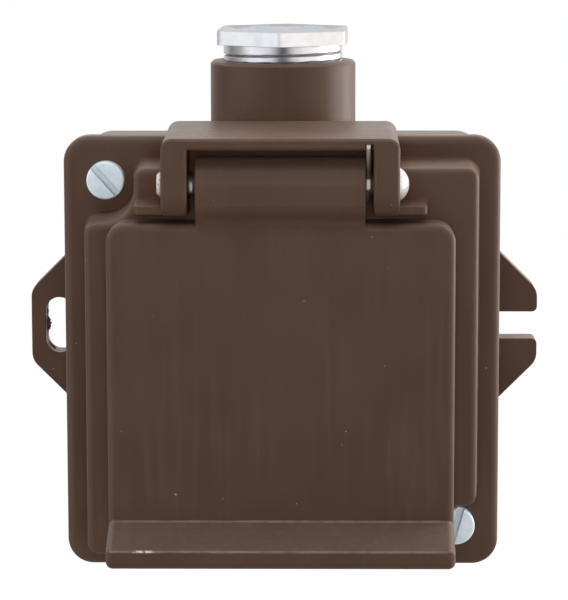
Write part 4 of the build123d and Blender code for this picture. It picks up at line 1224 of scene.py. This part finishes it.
@dataclass
class Mouldings:
    """The moulded and sealed pieces, whose CAD forms stay and are finished here."""

    workshop: Workshop
    lip_reach: float = 8.0
    lip_drop: float = 3.6
    lip_face: float = 3.4

    def lid_finish(self) -> Material:
        """The lid's own moulding finish, with a painted highlight along the two creases of its grip lip and a
        pale spot of wear on the lower one.
        """
        low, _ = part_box("lid")
        edge_y, edge_z = low.y / MM, low.z / MM + self.lip_face
        creases = ((edge_y + self.lip_reach, edge_z + self.lip_drop), (edge_y, edge_z))
        return MouldedPlastic("lid_moulding", creases=creases).material()

    def build(self) -> None:
        """Give each node its finish."""
        kept = {
            Slot.PLASTIC: ("base_box", "front_cover", "socket_well"),
            Slot.CARRIER: ("contact_carrier",),
            Slot.RUBBER: ("cover_gasket", "lid_gasket", "well_seal"),
            Slot.ZINC: ("gland_washer", "well_screw", "carrier_screws", "terminal_screws", "earth_screw"),
            Slot.BRASS: ("thread_inserts", "left_contact", "right_contact", "earth_stirrup"),
        }
        for slot, names in kept.items():
            self.workshop.dress(self.workshop.finishes[slot], *names)
        self.workshop.dress(self.lid_finish(), "lid")
        self.workshop.dress(self.workshop.rivet_steel, "hinge_pin")


@dataclass(frozen=True)
class Softbox:
    """A softbox that the camera doesn't see, and glossy surfaces only if it is mirrored."""

    name: str
    place: Place
    size: tuple[float, float]
    watts: float
    tint: Colour = WHITE
    mirrored: bool = False

    def hang(self, aim: Vector) -> None:
        """Hang the lamp.

        Args:
            aim: The point that it faces.
        """
        data = bpy.data.lights.new(self.name, "AREA")
        data.shape = "RECTANGLE"
        data.size, data.size_y = self.size
        data.energy = self.watts
        data.color = self.tint
        made = bpy.data.objects.new(self.name, data)
        made.location = self.place
        made.rotation_euler = (aim - Vector(self.place)).to_track_quat("-Z", "Y").to_euler()
        made.visible_camera = False
        made.visible_glossy = self.mirrored
        bpy.context.scene.collection.objects.link(made)


@dataclass
class Studio:
    """White studio: floor, sky, softboxes and the camera of the photograph."""

    floor_drop: float = 0.09
    floor_size: float = 12.0
    floor_colour: Colour = (0.34, 0.34, 0.34)
    floor_shade: Colour = (0.22, 0.22, 0.22)
    shade_ends: tuple[float, float] = (0.1, 0.9)
    floor_glow: float = 0.9
    glow_ends: tuple[float, float] = (0.4, 1.2)
    ambient: float = 0.12
    ceiling: Colour = (0.61, 0.66, 0.70)
    ceiling_ends: tuple[float, float] = (0.15, 0.45)
    walls: tuple[tuple[float, Colour], ...] = (
        (0.00, (0.72, 0.70, 0.68)),
        (0.10, (0.55, 0.55, 0.55)),
        (0.17, (0.20, 0.20, 0.20)),
        (0.25, (0.36, 0.37, 0.38)),
        (0.32, (0.94, 0.97, 1.00)),
        (0.37, (0.80, 0.84, 0.90)),
        (0.44, (0.64, 0.65, 0.67)),
        (0.490, (0.08, 0.09, 0.09)),
        (0.512, (0.08, 0.09, 0.09)),
        (0.56, (0.66, 0.65, 0.64)),
        (0.60, (0.84, 0.80, 0.78)),
        (0.64, (1.00, 0.96, 0.94)),
        (0.80, (1.00, 0.97, 0.95)),
        (0.89, (0.78, 0.74, 0.70)),
        (1.00, (0.72, 0.70, 0.68)),
    )
    lamps: tuple[Softbox, ...] = (
        Softbox("key", (-0.15, -0.68, 1.42), (0.9, 0.7), 8.0, WARM),
        Softbox("top", (0.0, -0.25, 1.25), (1.0, 0.7), 5.0),
        Softbox("fill", (0.01, -0.95, 0.15), (0.25, 0.25), 5.25, WARM),
        Softbox("back", (0.0, 1.4, 0.85), (1.8, 0.8), 82.0, WARM),
        Softbox("right", (1.0, 0.30, 0.02), (1.1, 0.3), 2.3, COOL, mirrored=True),
        Softbox("right_soft", (1.0, 0.30, 0.60), (1.1, 1.5), 19.0, COOL),
        Softbox("right_back", (0.95, 0.55, 0.30), (0.8, 0.8), 31.0),
        Softbox("left", (-1.0, 0.1, 0.3), (0.7, 1.0), 12.0),
    )
    eye: Place = (7.275, -556.187, 88.539)
    pitch: float = 0.14898
    yaw: float = 0.01322
    roll: float = 0.0015
    focal_pixels: float = 2873.99
    photo_height: int = 600
    sensor: float = 36.0
    clip: tuple[float, float] = (0.01, 100.0)

    def camera(self) -> None:
        """Set the camera where the photograph was taken from."""
        data = bpy.data.cameras.new("camera")
        data.sensor_width = self.sensor
        data.lens = self.focal_pixels * self.sensor / self.photo_height
        data.clip_start, data.clip_end = self.clip
        made = bpy.data.objects.new("camera", data)
        made.location = Vector(self.eye) * MM
        heading = Matrix.Rotation(self.yaw, 3, "Z") @ Matrix.Rotation(math.pi / 2 - self.pitch, 3, "X")
        made.rotation_euler = (heading @ Matrix.Rotation(-self.roll, 3, "Z")).to_euler()
        bpy.context.scene.collection.objects.link(made)
        bpy.context.scene.camera = made

    def shown_rays(self, graph: Graph) -> Value:
        """1 on rays that see the background straight, mirrored or through glass."""
        rays = graph.node("ShaderNodeLightPath")
        straight = Value(graph, rays.outputs["Is Camera Ray"])
        mirrored = straight.most(Value(graph, rays.outputs["Is Glossy Ray"]))
        return mirrored.most(Value(graph, rays.outputs["Is Transmission Ray"]))

    def wall_colour(self, graph: Graph, place: NodeSocket) -> NodeSocket:
        """Colour of the studio's walls on a bearing, which only mirrored rays see.

        Args:
            graph: The tree that it is used in.
            place: A direction, or a place on the floor.

        Returns:
            The colour's socket: 0 and 1 on the ramp are behind the object, a half is behind the camera.
        """
        across, along, _ = graph.axes(place)
        bearing = across.math("ARCTAN2", across, 0 - along) * (0.5 / math.pi) + 0.5
        return graph.node("ShaderNodeValToRGB", {0: bearing}, stops=self.walls).outputs[0]

    def sky(self) -> None:
        """White to the camera, the studio's walls and ceiling to mirrored rays, and dim to all others."""
        world = bpy.data.worlds.new("studio")
        bpy.context.scene.world = world
        world.use_nodes = True
        graph = Graph(world.node_tree)
        graph.tree.nodes.clear()
        direction = graph.node("ShaderNodeTexCoord").outputs["Generated"]
        _, _, height = graph.axes(direction)
        high = height.rise(*self.ceiling_ends)
        inside = graph.blend(high, self.wall_colour(graph, direction), self.ceiling)
        room = graph.node("ShaderNodeBackground", {0: inside, 1: 1.0})
        white = graph.node("ShaderNodeBackground", {0: WHITE, 1: 1.0})
        dim = graph.node("ShaderNodeBackground", {0: WHITE, 1: self.ambient})
        straight = graph.node("ShaderNodeLightPath").outputs["Is Camera Ray"]
        seen = graph.shaders(straight, room, white)
        mixed = graph.shaders(self.shown_rays(graph), dim, seen)
        graph.node("ShaderNodeOutputWorld", {"Surface": mixed})

    def floor(self, lowest: float) -> None:
        """Pale floor that shows white and keeps a faint shadow.

        Args:
            lowest: The height of the object's lowest point.
        """
        mesh = bpy.data.meshes.new("floor")
        half = self.floor_size / 2
        height = lowest - self.floor_drop
        corners = [(-half, -half, height), (half, -half, height), (half, half, height), (-half, half, height)]
        mesh.from_pydata(corners, [], [(0, 1, 2, 3)])
        made = bpy.data.objects.new("floor", mesh)
        bpy.context.scene.collection.objects.link(made)
        made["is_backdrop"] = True
        material = bpy.data.materials.new("floor")
        material.use_nodes = True
        graph = Graph(material.node_tree)
        graph.tree.nodes.clear()
        matt = graph.node("ShaderNodeBsdfDiffuse", {0: self.floor_colour})
        place = graph.node("ShaderNodeTexCoord").outputs["Object"]
        distance = graph.value("ShaderNodeVectorMath", {0: place}, "Value", operation="LENGTH")
        walled = distance.rise(*self.shade_ends)
        mirrored = graph.blend(walled, self.floor_shade, self.wall_colour(graph, place))
        straight = graph.node("ShaderNodeLightPath").outputs["Is Camera Ray"]
        shown = graph.blend(straight, mirrored, WHITE)
        glow = graph.node("ShaderNodeEmission", {0: shown, 1: 1.0})
        far = distance.rise(*self.glow_ends)
        share = self.shown_rays(graph) * (self.floor_glow + (1 - self.floor_glow) * far)
        graph.node("ShaderNodeOutputMaterial", {"Surface": graph.shaders(share, matt, glow)})
        mesh.materials.append(material)

    def build(self, low: Vector, high: Vector) -> None:
        """Set the stage.

        Args:
            low: The object's lowest corner.
            high: The object's highest corner.
        """
        bpy.context.scene.view_settings.view_transform = "Standard"
        self.camera()
        self.sky()
        self.floor(low.z)
        for lamp in self.lamps:
            lamp.hang((low + high) / 2)


def hinge_axis(joints: Sequence[dict[str, object]], name: str) -> Vector:
    """A point on a joint's axis."""
    return Vector(next(joint["pos_m"] for joint in joints if joint["name"] == name))


def main() -> None:
    """Build the object's looks around its frame."""
    logging.basicConfig(level=logging.INFO, format="%(name)s: %(message)s")
    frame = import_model()
    cad_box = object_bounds()
    workshop = Workshop(frame["nodes"])
    Mouldings(workshop).build()
    SlottedScrews(workshop).build()
    GlandNut(workshop).build()
    GripRing(workshop).build()
    ClosingSpring(workshop).build(hinge_axis(frame["joints"], "lid_hinge"))
    SlotFlash(workshop).build()
    Studio().build(*cad_box)


if __name__ == "__main__":
    main()
